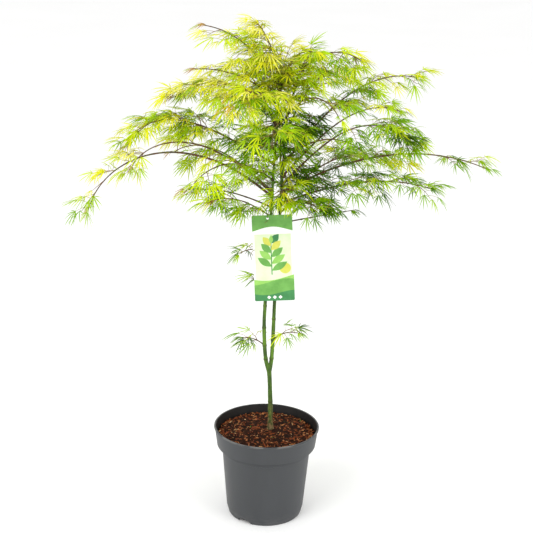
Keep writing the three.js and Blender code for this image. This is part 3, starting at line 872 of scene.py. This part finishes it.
def joint_shares(limb):
    """The shares of a limb's length where its side twigs leave, and those halfway between."""
    leafy = limb["length"] * (1 - limb["bare"])
    count = max(1, round(leafy / (TWIG_SPACING * MM)))
    places = (np.arange(count) + FIRST_TWIG) / (count + SPARE_TIP)
    main = limb["bare"] + (1 - limb["bare"]) * places
    return main, main + 0.5 * (1 - limb["bare"]) / (count + SPARE_TIP)


limbs = [limb_of(index, row) for index, row in enumerate(LIMB_ROWS)]
chunks = []
for limb in limbs:
    length = limb["length"]
    count = max(12, round(length / LIMB_STEP))
    shares = np.linspace(0, 1, count + 1)
    points = walk(limb, shares)
    radii = limb["radius"] + (BOUGH_TIP - limb["radius"]) * shares
    main, between = joint_shares(limb)
    bare_joints = np.arange(1, 3) * limb["bare"] / 3 if limb["bare"] else []
    joints = sorted([*main, *between, *bare_joints])
    joint_places = [share * length for share in joints]
    radii *= joint_swell(shares * length, joint_places, BOUGH_SWELL, BOUGH_JOINT_REACH)
    radii *= 1 + COLLAR_SWELL * np.exp(-((shares * length / COLLAR_REACH) ** 2))
    draw = seeded(limb["seed"] + KINK_SEED)
    bends = [0, *(draw(-1, 1) for _ in joints), 0]
    sway = np.interp(shares, [0, *joints, 1.001], bends) * KINK
    level = across_from(limb["heading"])
    points += sway[:, None] * level
    limb["line"] = (shares, points)
    chunks.append(tube(points, radii, level, BOUGH_SIDES))
boughs = joined_mesh("boughs", chunks)
smooth(boughs)

bough_bark, tree, shader = new_material("brown bough bark", Specular_IOR_Level=0.35)
body = add_mottle(tree, "33241a", "6d6a30", 95, 1900, edge=0.14)
patches = add_mottle(tree, "000000", "ffffff", 60, 900, edge=0.05)
tones = add_tone_mix(tree, patches.outputs["Mask"], body.outputs["Color"], "5f3b24")
add_skin(tree, shader, body, tones, (0.5, 0.7), 0.25 * MM)
rods = [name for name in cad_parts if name.startswith("bough_")]
settle(boughs, "boughs", bough_bark, "bough", *rods)

# Twigs
# Fine side twigs leave the limbs in pairs at their joints, mottled reddish brown and green,
# and arch over like the limbs.

TWIG_TURNS = (38, 64)
TWIG_LIFTS = (0, 16)
TWIG_FALLS = (-42, -10)
TWIG_BEND = 1.3
TWIG_REACH = 92 * MM
TWIG_SHARE = 0.55
TWIG_SIZES = (0.8, 1.1)
TWIG_TAPER = 0.45
TWIG_RADIUS = 0.95 * MM
TWIG_TIP = 0.45 * MM
TWIG_STEP = 9 * MM
TWIG_SIDES = 5
TWIG_END = 0.985
ADDED_END = 0.99
TWIG_SEED = 613
TWIG_LEAF_SEED = 29
ADDED_LIFTS = (-30, 42)
ADDED_FALLS = (-20, 30)
KEEP_SEED = 5
SPUR_SEED = 71
SPUR_BEND = 1.2
SPUR_RISES = (8, 56)
SPUR_FALLS = (-38, 12)
SPUR_TURNS = (30, 95)
SPUR_SPENT = 0.3
# how deep in the crown's painted shade the shoots on a limb's bare part sit
SPUR_DEPTH = 0.7
SPUR_SPACING = 20 * MM
SPUR_LENGTH = (20 * MM, 46 * MM)
SPUR_SHARE = 0.55
STEM_SPUR_SEEDS = {"left": 5003, "right": 7001}
STEM_SPUR_LEAF_SEED = 811
STEM_SPUR_FROM = 0.662
STEM_SPUR_STEP = 0.011
STEM_SPUR_END = 12 * MM
STEM_SPUR_SWAY = (-35, 35)
STEM_SPUR_LENGTH = (26 * MM, 62 * MM)
STEM_SPUR_SHARES = (
    (0.66, 0.1), (0.72, 0.12), (0.76, 0.34), (0.82, 0.6), (0.86, 0.35), (0.91, 0.4), (0.94, 1),
)
# how deep in the crown's painted shade the stems' shoots sit, by height
STEM_SPUR_DEPTHS = ((0.7, 0.3), (0.82, 0.5), (0.87, 1.4), (0.92, 0.4))
# From this height up the stems' shoots grow longer and steeper, as their leaders
LEADERS_FROM = 0.86
LEADER_GROWTH = (20 * MM, 110 * MM)
LEADER_RISE = 48
LEADER_LIFT = 66
STEEPEST = 86
OWN_TWIG_SHARE = 0.5


def leafing(limb, share):
    """The part of its possible side growth that a limb carries at a share of its length."""
    inner, outer = limb["growth"][:2]
    return inner + (outer - inner) * share


def point_on(limb, share):
    """The point on a limb's bent line at a share of its length."""
    shares, points = limb["line"]
    return np.array([np.interp(share, shares, points[:, axis]) for axis in range(3)])


def twig_of(limb, share, side, draw, size):
    """A side twig: a small limb that leaves its parent to one side and bends over sooner."""
    spent = (share - limb["bare"]) / (1 - limb["bare"])
    twig = {
        "root": point_on(limb, share),
        "heading": limb["heading"] + side * draw(*TWIG_TURNS),
        "rise": 0.6 * pitch_at(limb, share) + draw(*TWIG_LIFTS),
        "fall": draw(*TWIG_FALLS),
        "bend": TWIG_BEND,
        "spent": spent,
        "inner": 0,
    }
    reach = size * min(TWIG_REACH, TWIG_SHARE * limb["length"])
    twig["length"] = reach * draw(*TWIG_SIZES) * (1 - TWIG_TAPER * spent)
    return twig


def twigs_of(limb):
    """A limb's twigs: the source's own, then partners on the other side and pairs between."""
    main, between = joint_shares(limb)
    lift = limb["growth"][3]
    made = []
    keep = seeded(limb["seed"] + KEEP_SEED)
    for index, share in enumerate(main):
        side = 1 if index % 2 == 0 else -1
        seed = limb["seed"] + TWIG_SEED * (index + 1)
        if keep(0, 1) < leafing(limb, share) + OWN_TWIG_SHARE:
            made.append(twig_of(limb, share, side, seeded(seed), 1))
        middle = min(TWIG_END, between[index])
        first, last = 0.5 * (share + middle), min(ADDED_END, 1.5 * middle - 0.5 * share)
        # each one's place, its side, its seed's step, its size, and the leafing it needs first
        for place, turn, step, size, spare in (
            (share, -side, 307, 0.82, 0),
            (middle, 1, 151, 0.66, 0),
            (middle, -1, 458, 0.66, 0),
            (first, side, 523, 0.6, 1),
            (first, -side, 647, 0.6, 1),
            (last, side, 733, 0.6, 1),
            (last, -side, 829, 0.6, 1),
        ):
            draw = seeded(seed + step)
            if keep(0, 1) < leafing(limb, place) - spare:
                twig = twig_of(limb, place, turn, draw, size)
                twig["rise"] += draw(*ADDED_LIFTS) + lift
                twig["fall"] += draw(*ADDED_FALLS)
                made.append(twig)
    return made


def spur(root, heading, length, draw, inner):
    """A short leafy shoot that leaves old wood steeply and arches over."""
    return {
        "root": root,
        "heading": heading,
        "rise": draw(*SPUR_RISES),
        "fall": draw(*SPUR_FALLS),
        "bend": SPUR_BEND,
        "spent": SPUR_SPENT,
        "inner": inner,
        "length": length,
    }


def limb_spurs(limb):
    """The short shoots on the bare part of a limb, in pairs."""
    made = []
    draw = seeded(limb["seed"] + SPUR_SEED)
    count = round(limb["bare"] * limb["length"] / SPUR_SPACING)
    for index in range(count):
        share = limb["bare"] * (index + 0.7) / count
        root = point_on(limb, share)
        for side in (-1, 1):
            heading = limb["heading"] + side * draw(*SPUR_TURNS)
            if draw(0, 1) < SPUR_SHARE * leafing(limb, share):
                made.append(spur(root, heading, draw(*SPUR_LENGTH), draw, SPUR_DEPTH))
    return made


def stem_spurs(stem):
    """The short shoots on a stem inside the crown, in pairs, each a quarter turn from the last."""
    made = []
    draw = seeded(STEM_SPUR_SEEDS[stem])
    top = stem_lines[stem][-1, 2] - STEM_SPUR_END
    for index, height in enumerate(np.arange(STEM_SPUR_FROM, top, STEM_SPUR_STEP)):
        root = stem_place(stem, height)[0]
        high = max(0, height - LEADERS_FROM) / (top - LEADERS_FROM)
        # how deep it sits in the crown's painted shade
        depth = np.interp(height, *zip(*STEM_SPUR_DEPTHS))
        for side in (0, 180):
            heading = 90 * index + side + draw(*STEM_SPUR_SWAY)
            length = draw(*STEM_SPUR_LENGTH) + high * draw(*LEADER_GROWTH)
            shoot = spur(root, heading, length, draw, (1 - high) * depth)
            shoot["rise"] = min(STEEPEST, shoot["rise"] + LEADER_RISE * high)
            shoot["fall"] += LEADER_LIFT * high
            if draw(0, 1) < np.interp(height, *zip(*STEM_SPUR_SHARES)):
                made.append(shoot)
    return made


twigs = []
for limb in limbs:
    for order, twig in enumerate(twigs_of(limb) + limb_spurs(limb)):
        seed = limb["seed"] + TWIG_SEED * (order + 1) + TWIG_LEAF_SEED
        twigs.append({**twig, "kept": limb["growth"][2], "seed": seed})
for stem, stem_seed in STEM_SPUR_SEEDS.items():
    for order, twig in enumerate(stem_spurs(stem)):
        seed = stem_seed + STEM_SPUR_LEAF_SEED * (order + 1)
        twigs.append({**twig, "kept": 1, "seed": seed})
chunks = []
for twig in twigs:
    shares = np.linspace(0, 1, max(3, round(twig["length"] / TWIG_STEP)) + 1)
    radii = TWIG_RADIUS + (TWIG_TIP - TWIG_RADIUS) * shares
    level = across_from(twig["heading"])
    chunks.append(tube(walk(twig, shares), radii, level, TWIG_SIDES))
twig_piece = joined_mesh("twigs", chunks)
smooth(twig_piece)
twig_bark = mottled(
    "red-brown twig bark", "6b3a26", "8a7a34", 70, 1500, 0.1 * MM, (0.45, 0.6),
    edge=0.1, Specular_IOR_Level=0.4,
)
masses = [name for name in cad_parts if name.startswith("foliage_")]
settle(twig_piece, "twigs", twig_bark, "bough", *masses)

# Leaves
# Each leaf is a fan of seven narrow toothed lobes, folded along their ribs, on a thin stalk.
# They leave the twigs in pairs, hang outwards, and are dealt their tone spray by spray, in painted
# light on the top and left and painted shade inside and below.

LEAF_LENGTH = 42 * MM
LEAF_WIDTH = 0.067
LEAF_PAIR_SPACING = 11.5 * MM
FIRST_PAIR = 0.8
SPARE_PAIR = 0.5
LOBE_ROWS = [(0, 0.2), (0.24, 0.78), (0.48, 1.0), (0.74, 0.6), (1, 0)]
LOBE_STEPS = len(LOBE_ROWS) - 1
LOBE_STAGGER = 0.07
LOBE_FOLD = 0.02
LOBE_CURL = 0.16
LOBE_SIZES = (0.9, 1.08)
LOBE_LIFTS = (-0.05, 0.02)
LOBE_ROLLS = (-14, 14)
LOBE_PITCHES = (-4, 10)
LOBE_SWAY = (-5, 5)
FAN_TURNS = (0, 19, -19, 40, -40, 66, -66)
FAN_LENGTHS = (1, 0.94, 0.94, 0.78, 0.78, 0.5, 0.5)
FAN_SEEDS = (101, 138, 175, 212, 249, 286, 323)
YOUNG_SEEDS = (701, 738)
YOUNG_SPREAD = 0.5
YOUNG_SIZE = 0.7
YOUNG_FROM = 0.86
LEAF_TURNS = (30, 68)
LEAF_SWAY = (-9, 9)
LEAF_PITCHES = (-20, 14)
LEAF_STEEPEST = -44
LEAF_SIZES = (0.74, 1.1)
LEAF_ROLLS = (-42, 42)
LEAF_DROOPS = (0.02, 0.24)
KEEP_LEAF_SEED = 9
TIP_SEED = 3
TIP_LEAVES = ((0.97, 1), (0.97, -1), (1, 0))
STALK_LENGTH = (9 * MM, 22 * MM)
STALK_SHORT = 0.4
STALK_RISES = (14, 34)
STALK_RADII = np.array((1.25, 1, 1)) * (0.42 * MM)
STALK_SIDES = 3
LABEL_LOW = Vector((-50 * MM, -200 * MM, 470 * MM))
LABEL_HIGH = Vector((54 * MM, -8 * MM, 690 * MM))
LABEL_DEPTH = -20 * MM
SIGHT_SLOPE = 0.34
# The first seven tones run from painted shade to painted highlight; amber and blush are the
# leaves' own autumn tints
TONES = {
    "shade": "3f6601",
    "deep": "5f8b02",
    "mid": "80ac03",
    "spring": "a3c607",
    "lime": "c4d70e",
    "yellow": "dadb1c",
    "pale": "e6e45c",
    "amber": "dab62c",
    "blush": "b48c46",
}
PAINTED_SHADE_TO_LIGHT = ["shade", "deep", "mid", "spring", "lime", "yellow", "pale"]
# Painted light and shade: how much light a spray is painted with by its height and its place
# across, less the painted shade of the crown in front of it by height, for a shoot on old wood,
# and less painted shade towards the front
PAINTED_LIGHT_HEIGHTS = ((0.66, 0.38), (0.72, 0.43), (0.8, 0.73), (0.87, 0.54), (0.94, 0.82), (1.1, 0.86))
PAINTED_LIGHT_PLACES = (
    (-0.4, 0.16), (-0.08, -0.03), (0.02, 0.05), (0.07, -0.25), (0.2, -0.25), (0.4, -0.18),
)
PAINTED_INNER_SHADE = ((0.83, 0.38), (0.88, 0.65), (0.92, 0.5), (0.95, 0))
PAINTED_FRONT_SHADE = 1.2
FRONT_FROM = -0.08
SPRIGS_TO = 0.64
SPRIG_PAINTED_LIGHT = 0.3
SPRAY_SPREAD = (-0.2, 0.2)
LEAF_SPREAD = (-1.5, 1.5)
# Most sprays at the tips of the far left blush, and some outer ones beside the peak turn amber
BLUSH_FROM = 0.98
BLUSH_SIDE = -0.12
BLUSH_SHARE = 0.8
AMBER_FROM = 0.8
AMBER_HEIGHTS = (0.8, 0.95)
AMBER_REACHES = (0.04, 0.15)
AMBER_SHARE = 0.4
AUTUMN_LEAF_SHARE = 0.6


def select_points(piece, wanted):
    """Goes into edit mode with only those vertices selected whose place is wanted."""
    go("EDIT")
    bpy.ops.mesh.select_mode(type="VERT")
    bpy.ops.mesh.select_all(action="DESELECT")
    go("OBJECT")
    for vertex in piece.data.vertices:
        vertex.select = wanted(vertex.co)
    go("EDIT")


def lobe_shape():
    """One lobe a unit long: a strip with its rib down the middle, its edges stepped into teeth."""
    deselect()
    bpy.ops.mesh.primitive_grid_add(
        x_subdivisions=LOBE_STEPS, y_subdivisions=2, size=1, location=(0.5, 0, 0)
    )
    piece = bpy.context.object
    bpy.ops.object.transform_apply(location=True)
    for row, (share, width) in enumerate(LOBE_ROWS):
        level = row / LOBE_STEPS
        select_points(piece, lambda place: abs(place.x - level) < 0.005)
        if width:
            bpy.ops.transform.resize(value=(1, LEAF_WIDTH * width, 1))
        else:
            bpy.ops.mesh.merge(type="CENTER")
        bpy.ops.transform.translate(value=(share - level, 0, -LOBE_CURL * share**2))
    select_points(piece, lambda place: abs(place.y) > 1e-5)
    bpy.ops.transform.translate(value=(0, 0, LOBE_FOLD))
    select_points(piece, lambda place: place.y > 1e-5)
    bpy.ops.transform.translate(value=(-LOBE_STAGGER, 0, 0))
    go("OBJECT")
    return taken_mesh(piece)


lobe_points, lobe_faces = lobe_shape()


def fan_shape(shape_seed, spread):
    """A leaf a unit long: its lobes spread round the stalk's end, each a little its own way."""
    draw = seeded(shape_seed)
    points = []
    faces = []
    for turn, share in zip(FAN_TURNS, FAN_LENGTHS):
        size = share * draw(*LOBE_SIZES)
        order = 1 if turn >= 0 else -1
        lobe = lobe_points * (size, (0.55 + 0.45 * size) * order, size)
        lobe[:, 2] += draw(*LOBE_LIFTS) * lobe[:, 0]
        roll, pitch = draw(*LOBE_ROLLS), draw(*LOBE_PITCHES)
        heading = spread * (turn + draw(*LOBE_SWAY))
        lobe = turned(lobe, ("X", roll), ("Y", pitch), ("Z", heading))
        faces += [tuple(index + len(points) for index in face)[::order] for face in lobe_faces]
        points.extend(lobe)
    return np.array(points), faces


open_fans = [fan_shape(seed, 1) for seed in FAN_SEEDS]
young_fans = [fan_shape(seed, YOUNG_SPREAD) for seed in YOUNG_SEEDS]
leaf_chunks = {tone: [] for tone in TONES}
stalk_chunks = []


def painted_light_tone(step):
    """The tone at a step from painted shade to painted light."""
    return PAINTED_SHADE_TO_LIGHT[max(0, min(len(PAINTED_SHADE_TO_LIGHT) - 1, step))]


def tone_of(place, twig, draw):
    """A spray's tone in painted light and shade: pale and yellow as painted light on the top and
    left, green as painted shade below and inside.
    """
    x, y, z = place
    # painted light by height and place, less painted shade inside the crown and towards the front
    sun = np.interp(z, *zip(*PAINTED_LIGHT_HEIGHTS)) + np.interp(x, *zip(*PAINTED_LIGHT_PLACES))
    inner = np.interp(z, *zip(*PAINTED_INNER_SHADE)) * twig["inner"]
    sun -= inner + PAINTED_FRONT_SHADE * max(0, FRONT_FROM - y)
    if z < SPRIGS_TO:
        sun = SPRIG_PAINTED_LIGHT
    if twig["spent"] > BLUSH_FROM and x < BLUSH_SIDE and draw(0, 1) < BLUSH_SHARE:
        return "blush"
    (lowest, highest), (nearest, farthest) = AMBER_HEIGHTS, AMBER_REACHES
    beside = lowest < z < highest and nearest < abs(x) < farthest
    if twig["spent"] > AMBER_FROM and beside and draw(0, 1) < AMBER_SHARE:
        return "amber"
    return painted_light_tone(round((sun + draw(*SPRAY_SPREAD)) * (len(PAINTED_SHADE_TO_LIGHT) - 1)))


def leaf_tone(tone, draw):
    """A leaf's tone: its spray's own, or for some leaves one or two steps lighter or darker."""
    if tone in PAINTED_SHADE_TO_LIGHT:
        return painted_light_tone(PAINTED_SHADE_TO_LIGHT.index(tone) + round(draw(*LEAF_SPREAD)))
    return tone if draw(0, 1) < AUTUMN_LEAF_SHARE else "lime"


def hides_label(place):
    """Whether a place is on the label or in front of it, along the line of sight."""
    x, y, z = place
    beside = LABEL_LOW.x < x < LABEL_HIGH.x and LABEL_LOW.y < y < LABEL_HIGH.y
    return beside and LABEL_LOW.z < z < LABEL_HIGH.z + SIGHT_SLOPE * (LABEL_DEPTH - y)


def add_leaf(twig, share, side, tone, draw, young=False):
    """One leaf on its stalk, turned to one side of its twig and hanging a little."""
    root = walk(twig, share)[0]
    heading = twig["heading"] + side * draw(*LEAF_TURNS) + draw(*LEAF_SWAY)
    pitch = max(LEAF_STEEPEST, 0.5 * pitch_at(twig, share) + draw(*LEAF_PITCHES))
    length = LEAF_LENGTH * draw(*LEAF_SIZES) * (YOUNG_SIZE if young else 1)
    roll = math.radians(draw(*LEAF_ROLLS))
    stalk = draw(*STALK_LENGTH) * (STALK_SHORT if side == 0 or young else 1)
    rise = pitch + draw(*STALK_RISES)
    knee = root + 0.5 * stalk * direction(heading, rise)
    hub = knee + 0.5 * stalk * direction(heading, 0.5 * (rise + pitch))
    along = direction(heading, pitch)
    level = across_from(heading)
    across = math.cos(roll) * level + math.sin(roll) * np.cross(level, along)
    shapes = young_fans if young else open_fans
    points, faces = shapes[int(draw(0, len(shapes) - 0.001))]
    droop = draw(*LEAF_DROOPS)
    moved = points @ np.array((along, -across, np.cross(across, along))) * length
    moved[:, 2] -= droop * length * (points[:, 0] ** 2 + points[:, 1] ** 2)
    tip = hub + along * length
    if any(hides_label(place) for place in (hub, tip, 0.5 * (hub + tip))):
        return
    leaf_chunks[leaf_tone(tone, draw)].append((moved + hub, faces))
    stalk_chunks.append(tube([root, knee, hub], STALK_RADII, level, STALK_SIDES))


for twig in twigs:
    draw = seeded(twig["seed"])
    keep = seeded(twig["seed"] + KEEP_LEAF_SEED)
    tone = tone_of(walk(twig, 1)[0], twig, draw)
    pairs = max(1, round(twig["length"] / LEAF_PAIR_SPACING) - 1)
    for pair in range(pairs):
        for side in (-1, 1):
            if keep(0, 1) < twig["kept"]:
                add_leaf(twig, (pair + FIRST_PAIR) / (pairs + SPARE_PAIR), side, tone, draw)
    add_leaf(twig, 1, 0, tone, draw, twig["spent"] > YOUNG_FROM)
for limb in limbs:
    draw = seeded(limb["seed"] + TIP_SEED)
    end = {**limb, "spent": 1, "inner": 0}
    tone = tone_of(walk(limb, 1)[0], end, draw)
    for share, side in TIP_LEAVES:
        add_leaf(end, share, side, tone, draw, True)

for tone, code in TONES.items():
    leaves = joined_mesh(f"leaves_{tone}", leaf_chunks[tone])
    smooth(leaves)
    blade, tree, shader = new_material(
        f"{tone} leaf", Base_Color=paint(code), Specular_IOR_Level=0.12
    )
    body = add_mottle(tree, "000000", "ffffff", 60, 700)
    add_skin(tree, shader, body, None, (0.42, 0.62), 0.2 * MM)
    settle(leaves, f"leaves_{tone}", blade, "foliage", *masses)

stalks = joined_mesh("leaf_stalks", stalk_chunks)
smooth(stalks)
stalk_skin = mottled(
    "leaf stalk skin", "9a5a34", "9fae44", 40, 900, 0.05 * MM, edge=0.15, Roughness=0.5
)
settle(stalks, "leaf_stalks", stalk_skin, "foliage", *masses)

# Label
# A stiff white card of printed plastic that hangs on the stems: a green head over a pale green
# field, with a plain sprig, a pale sun and rolling hills, all laid on as thin layers of ink.

CARD_WIDTH = 84 * MM
CARD_HEIGHT = 188 * MM
CARD_THICK = 0.8 * MM
CARD_CORNER = 2 * MM
CARD_EDGE = 0.12 * MM
CARD_LEAN = -3.4
CARD_MIDDLE = Vector((6, -20.4, 597)) * MM
HOLE_ACROSS = -9 * MM
HOLE_UP = 87 * MM
HOLE_RADIUS = 2.5 * MM
INK_THICK = 0.05 * MM
INKS = {
    "tint": ("d3e6b8", "deeec8"),
    "green": ("5d9a40", "70ad50"),
    "spring": ("83bd50", "97cb62"),
    "deep": ("2f7740", "3f8a4c"),
    "sun": ("c6c84a", "d3d35c"),
    "white": ("eef1ea", "fbfcf8"),
}
# The design's parts, across and up from the card's middle in mm. Its sprig has a stem, pairs
# of leaves, and a leaf at its top. Each pair stands steeper and is shorter than the one below.
HEAD_EDGE = [(42, 92), (40, 94), (-40, 94), (-42, 92)]
FOOT_EDGE = [(-42, -92), (-40, -94), (40, -94), (42, -92)]
FIELD = [(-38, -50), (38, -50), (38, 53), (-38, 53)]
SPRIG_STEM = [(-5, -36), (-3, -36), (-3, 34), (-5, 34)]
SPRIG_ACROSS = -4
SPRIG_PAIRS = 5
SPRIG_FOOT = -30
SPRIG_STEP = 15
SPRIG_STAGGER = 3
SPRIG_LEAN = (60, -5)
SPRIG_LENGTH = (38, -3)
SPRIG_WIDTH = 7.4
SPRIG_INKS = ("deep", "green", "spring", "green", "sun")
SPRIG_TOP = (SPRIG_ACROSS, 32, 19, 4.2, 3)
SUN = (24, -22, 12, 40)
DIAMONDS = ((-12, -86, 4, 4), (0, -86, 4, 4), (12, -86, 4, 4))
# Each hill's ink, its layer, and its crest's height, swing, shift and wave
HILLS = (
    ("green", 3, -52, 7, 10, 24),
    ("spring", 2, -40, 9, -30, 30),
    ("deep", 4, -76, 5, -12, 20),
)

card_place = Matrix.Translation(CARD_MIDDLE) @ Matrix.Rotation(math.radians(CARD_LEAN), 4, "Y")


def punch(piece):
    """Cuts the hole for the tie."""
    deselect()
    bpy.ops.mesh.primitive_cylinder_add(
        vertices=32, radius=HOLE_RADIUS, depth=10 * MM, location=(HOLE_ACROSS, 0, HOLE_UP),
        rotation=(math.pi / 2, 0, 0),
    )
    cut_out(piece, bpy.context.object)


def ink_shape(outline, layer):
    """A thin plate of ink on the card's face, from its outline across and up in mm."""
    across, up = np.array(outline, float).T * MM
    count = len(across)
    back = np.column_stack([across, np.full(count, -0.5 * CARD_THICK), up])
    front = back - (0, 0.5 * CARD_THICK + layer * INK_THICK, 0)
    faces = [tuple(range(count))[::-1], tuple(range(count, 2 * count))]
    for here in range(count):
        beside = (here + 1) % count
        faces.append((here + count, here, beside, beside + count))
    return np.vstack([back, front]), faces


def hill(crest, height, shift, wave):
    """A rolling hill that rises from the card's foot."""
    line = [(x, crest + height * math.sin((x + shift) / wave)) for x in np.linspace(42, -42, 23)]
    return FOOT_EDGE + line


def blade_outline(x, z, length, width, turn):
    """A pointed oval that starts at a place and leans by an angle from upright."""
    lean = math.radians(turn)
    outline = []
    for step in range(20):
        share = step / 20
        along = 2 * share if share < 0.5 else 2 - 2 * share
        aside = width * math.sin(math.pi * along) * (1 if share < 0.5 else -1)
        up = length * along
        outline.append((
            x + up * math.sin(lean) + aside * math.cos(lean),
            z + up * math.cos(lean) - aside * math.sin(lean),
        ))
    return outline


def disc_outline(x, z, radius, corners):
    """A disc, or a diamond where it has four corners."""
    turns = [2 * math.pi * corner / corners for corner in range(corners)]
    return [(x + radius * math.cos(turn), z + radius * math.sin(turn)) for turn in turns]


deselect()
bpy.ops.mesh.primitive_cube_add(size=1, location=(0, -CARD_THICK / 2, 0))
card = bpy.context.object
card.scale = (CARD_WIDTH, CARD_THICK, CARD_HEIGHT)
bpy.ops.object.transform_apply(location=True, scale=True)
go("EDIT")
bpy.ops.mesh.select_mode(type="EDGE")
bpy.ops.mesh.select_all(action="DESELECT")
go("OBJECT")
for edge in card.data.edges:
    start, end = (card.data.vertices[index].co for index in edge.vertices)
    edge.select = abs(start.y - end.y) > 0.1 * MM
go("EDIT")
bpy.ops.mesh.bevel(offset=CARD_CORNER, segments=5)
go("OBJECT")
punch(card)
soften_edges(card, CARD_EDGE)

head = [(x, 63 + 6 * math.cos(math.pi * x / 60)) for x in np.linspace(-42, 42, 25)] + HEAD_EDGE
drawn = [("tint", FIELD, 1), ("green", head, 1)]
drawn += [(ink, hill(*crest), layer) for ink, layer, *crest in HILLS]
drawn += [("sun", disc_outline(*SUN), 2)]
drawn += [("white", disc_outline(*diamond), 5) for diamond in DIAMONDS]
drawn += [("deep", SPRIG_STEM, 3)]
for pair in range(SPRIG_PAIRS):
    for side in (-1, 1):
        foot = SPRIG_FOOT + SPRIG_STEP * pair + SPRIG_STAGGER * side
        lean, length = (first + change * pair for first, change in (SPRIG_LEAN, SPRIG_LENGTH))
        outline = blade_outline(SPRIG_ACROSS, foot, length, SPRIG_WIDTH, side * lean)
        ink = SPRIG_INKS[(pair + (side > 0)) % len(SPRIG_INKS)]
        drawn.append((ink, outline, 4 + pair % 2))
drawn += [("spring", blade_outline(*SPRIG_TOP), 6)]

plastic_card = mottled(
    "white card", "f0f2ee", "fafbf8", 30, 1500, 0.02 * MM, (0.3, 0.42),
    edge=0.2, Specular_IOR_Level=0.45,
)
card.matrix_world = card_place
settle(card, "label", plastic_card, "label", "label")

for ink, (low, high) in INKS.items():
    shapes = [ink_shape(outline, layer) for own, outline, layer in drawn if own == ink]
    print_layer = joined_mesh(f"label_{ink}", shapes)
    punch(print_layer)
    coat = mottled(
        f"{ink} ink", low, high, 45, 1500, 0.02 * MM, (0.3, 0.45),
        edge=0.15, Specular_IOR_Level=0.45,
    )
    print_layer.matrix_world = card_place
    settle(print_layer, f"label_{ink}", coat, "label")

# Label tie
# A green plastic-coated wire that runs through the label's hole, round the left stem and back
# over the label's top edge, its two ends twisted round each other.

TIE_RADIUS = 0.8 * MM
TIE_RISE = 15
TIE_BEND = 2.8
TIE_LIFT = 1.4
TIE_GAP = 1.2
TIE_TWIST = 17
TIE_TWIST_TURNS = 2.5
TIE_TWIST_RADIUS = 0.85
TIE_TWIST_STEPS = 14
TIE_TWIST_WAY = Vector((-0.62, -0.2, 0.76))

hole = card_place @ Vector((HOLE_ACROSS, -CARD_THICK / 2, HOLE_UP)) / MM
hole.z += TIE_LIFT
stem_height = hole.z + TIE_RISE / 2
around = stem_radius(stem_height) + TIE_GAP
middle = stem_place("left", stem_height * MM)[0] / MM


def twist(start, phase):
    """One strand of the twisted ends, from its foot to its tip."""
    side = TIE_TWIST_WAY.cross(Vector((0, 1, 0))).normalized()
    front = TIE_TWIST_WAY.cross(side).normalized()
    strand = []
    for step in range(TIE_TWIST_STEPS + 1):
        share = step / TIE_TWIST_STEPS
        turn = phase + 2 * math.pi * TIE_TWIST_TURNS * share
        spot = start + TIE_TWIST * share * TIE_TWIST_WAY
        around = math.cos(turn) * side + math.sin(turn) * front
        strand.append(tuple(spot + TIE_TWIST_RADIUS * around))
    return strand


foot = hole + Vector((-2, 0.2, TIE_RISE - 1))
route = twist(foot, 0)[::-1]
for step in ((-1, -TIE_BEND, 6), (0, -TIE_BEND, 1), (0, 0, 0), (0, TIE_BEND, 0.5)):
    route.append(np.array(hole) + step)
for turn in range(-30, 211, 30):
    x, y = middle[:2] + around * direction(turn, 0)[:2]
    route.append((x, y, hole.z + TIE_RISE * (turn + 60) / 300))
route += twist(foot, math.pi)

deselect()
bpy.ops.curve.primitive_nurbs_path_add()
wire = bpy.context.object
wire.data.splines.clear()
course = stem_line(route)[::4]
spline = wire.data.splines.new("POLY")
spline.points.add(len(course) - 1)
for point, place in zip(spline.points, course):
    point.co = (*place, 1)
wire.data.bevel_depth = TIE_RADIUS
wire.data.bevel_resolution = 2
wire.data.use_fill_caps = True
pick(wire)
bpy.ops.object.convert(target="MESH")
bpy.ops.object.shade_smooth()
coating = mottled(
    "green wire coating", "1f5a2a", "2f7a3a", 80, 1800, 0.03 * MM, (0.35, 0.5),
    edge=0.15, Specular_IOR_Level=0.5,
)
settle(wire, "label_tie", coating, "tie", "label_tie")
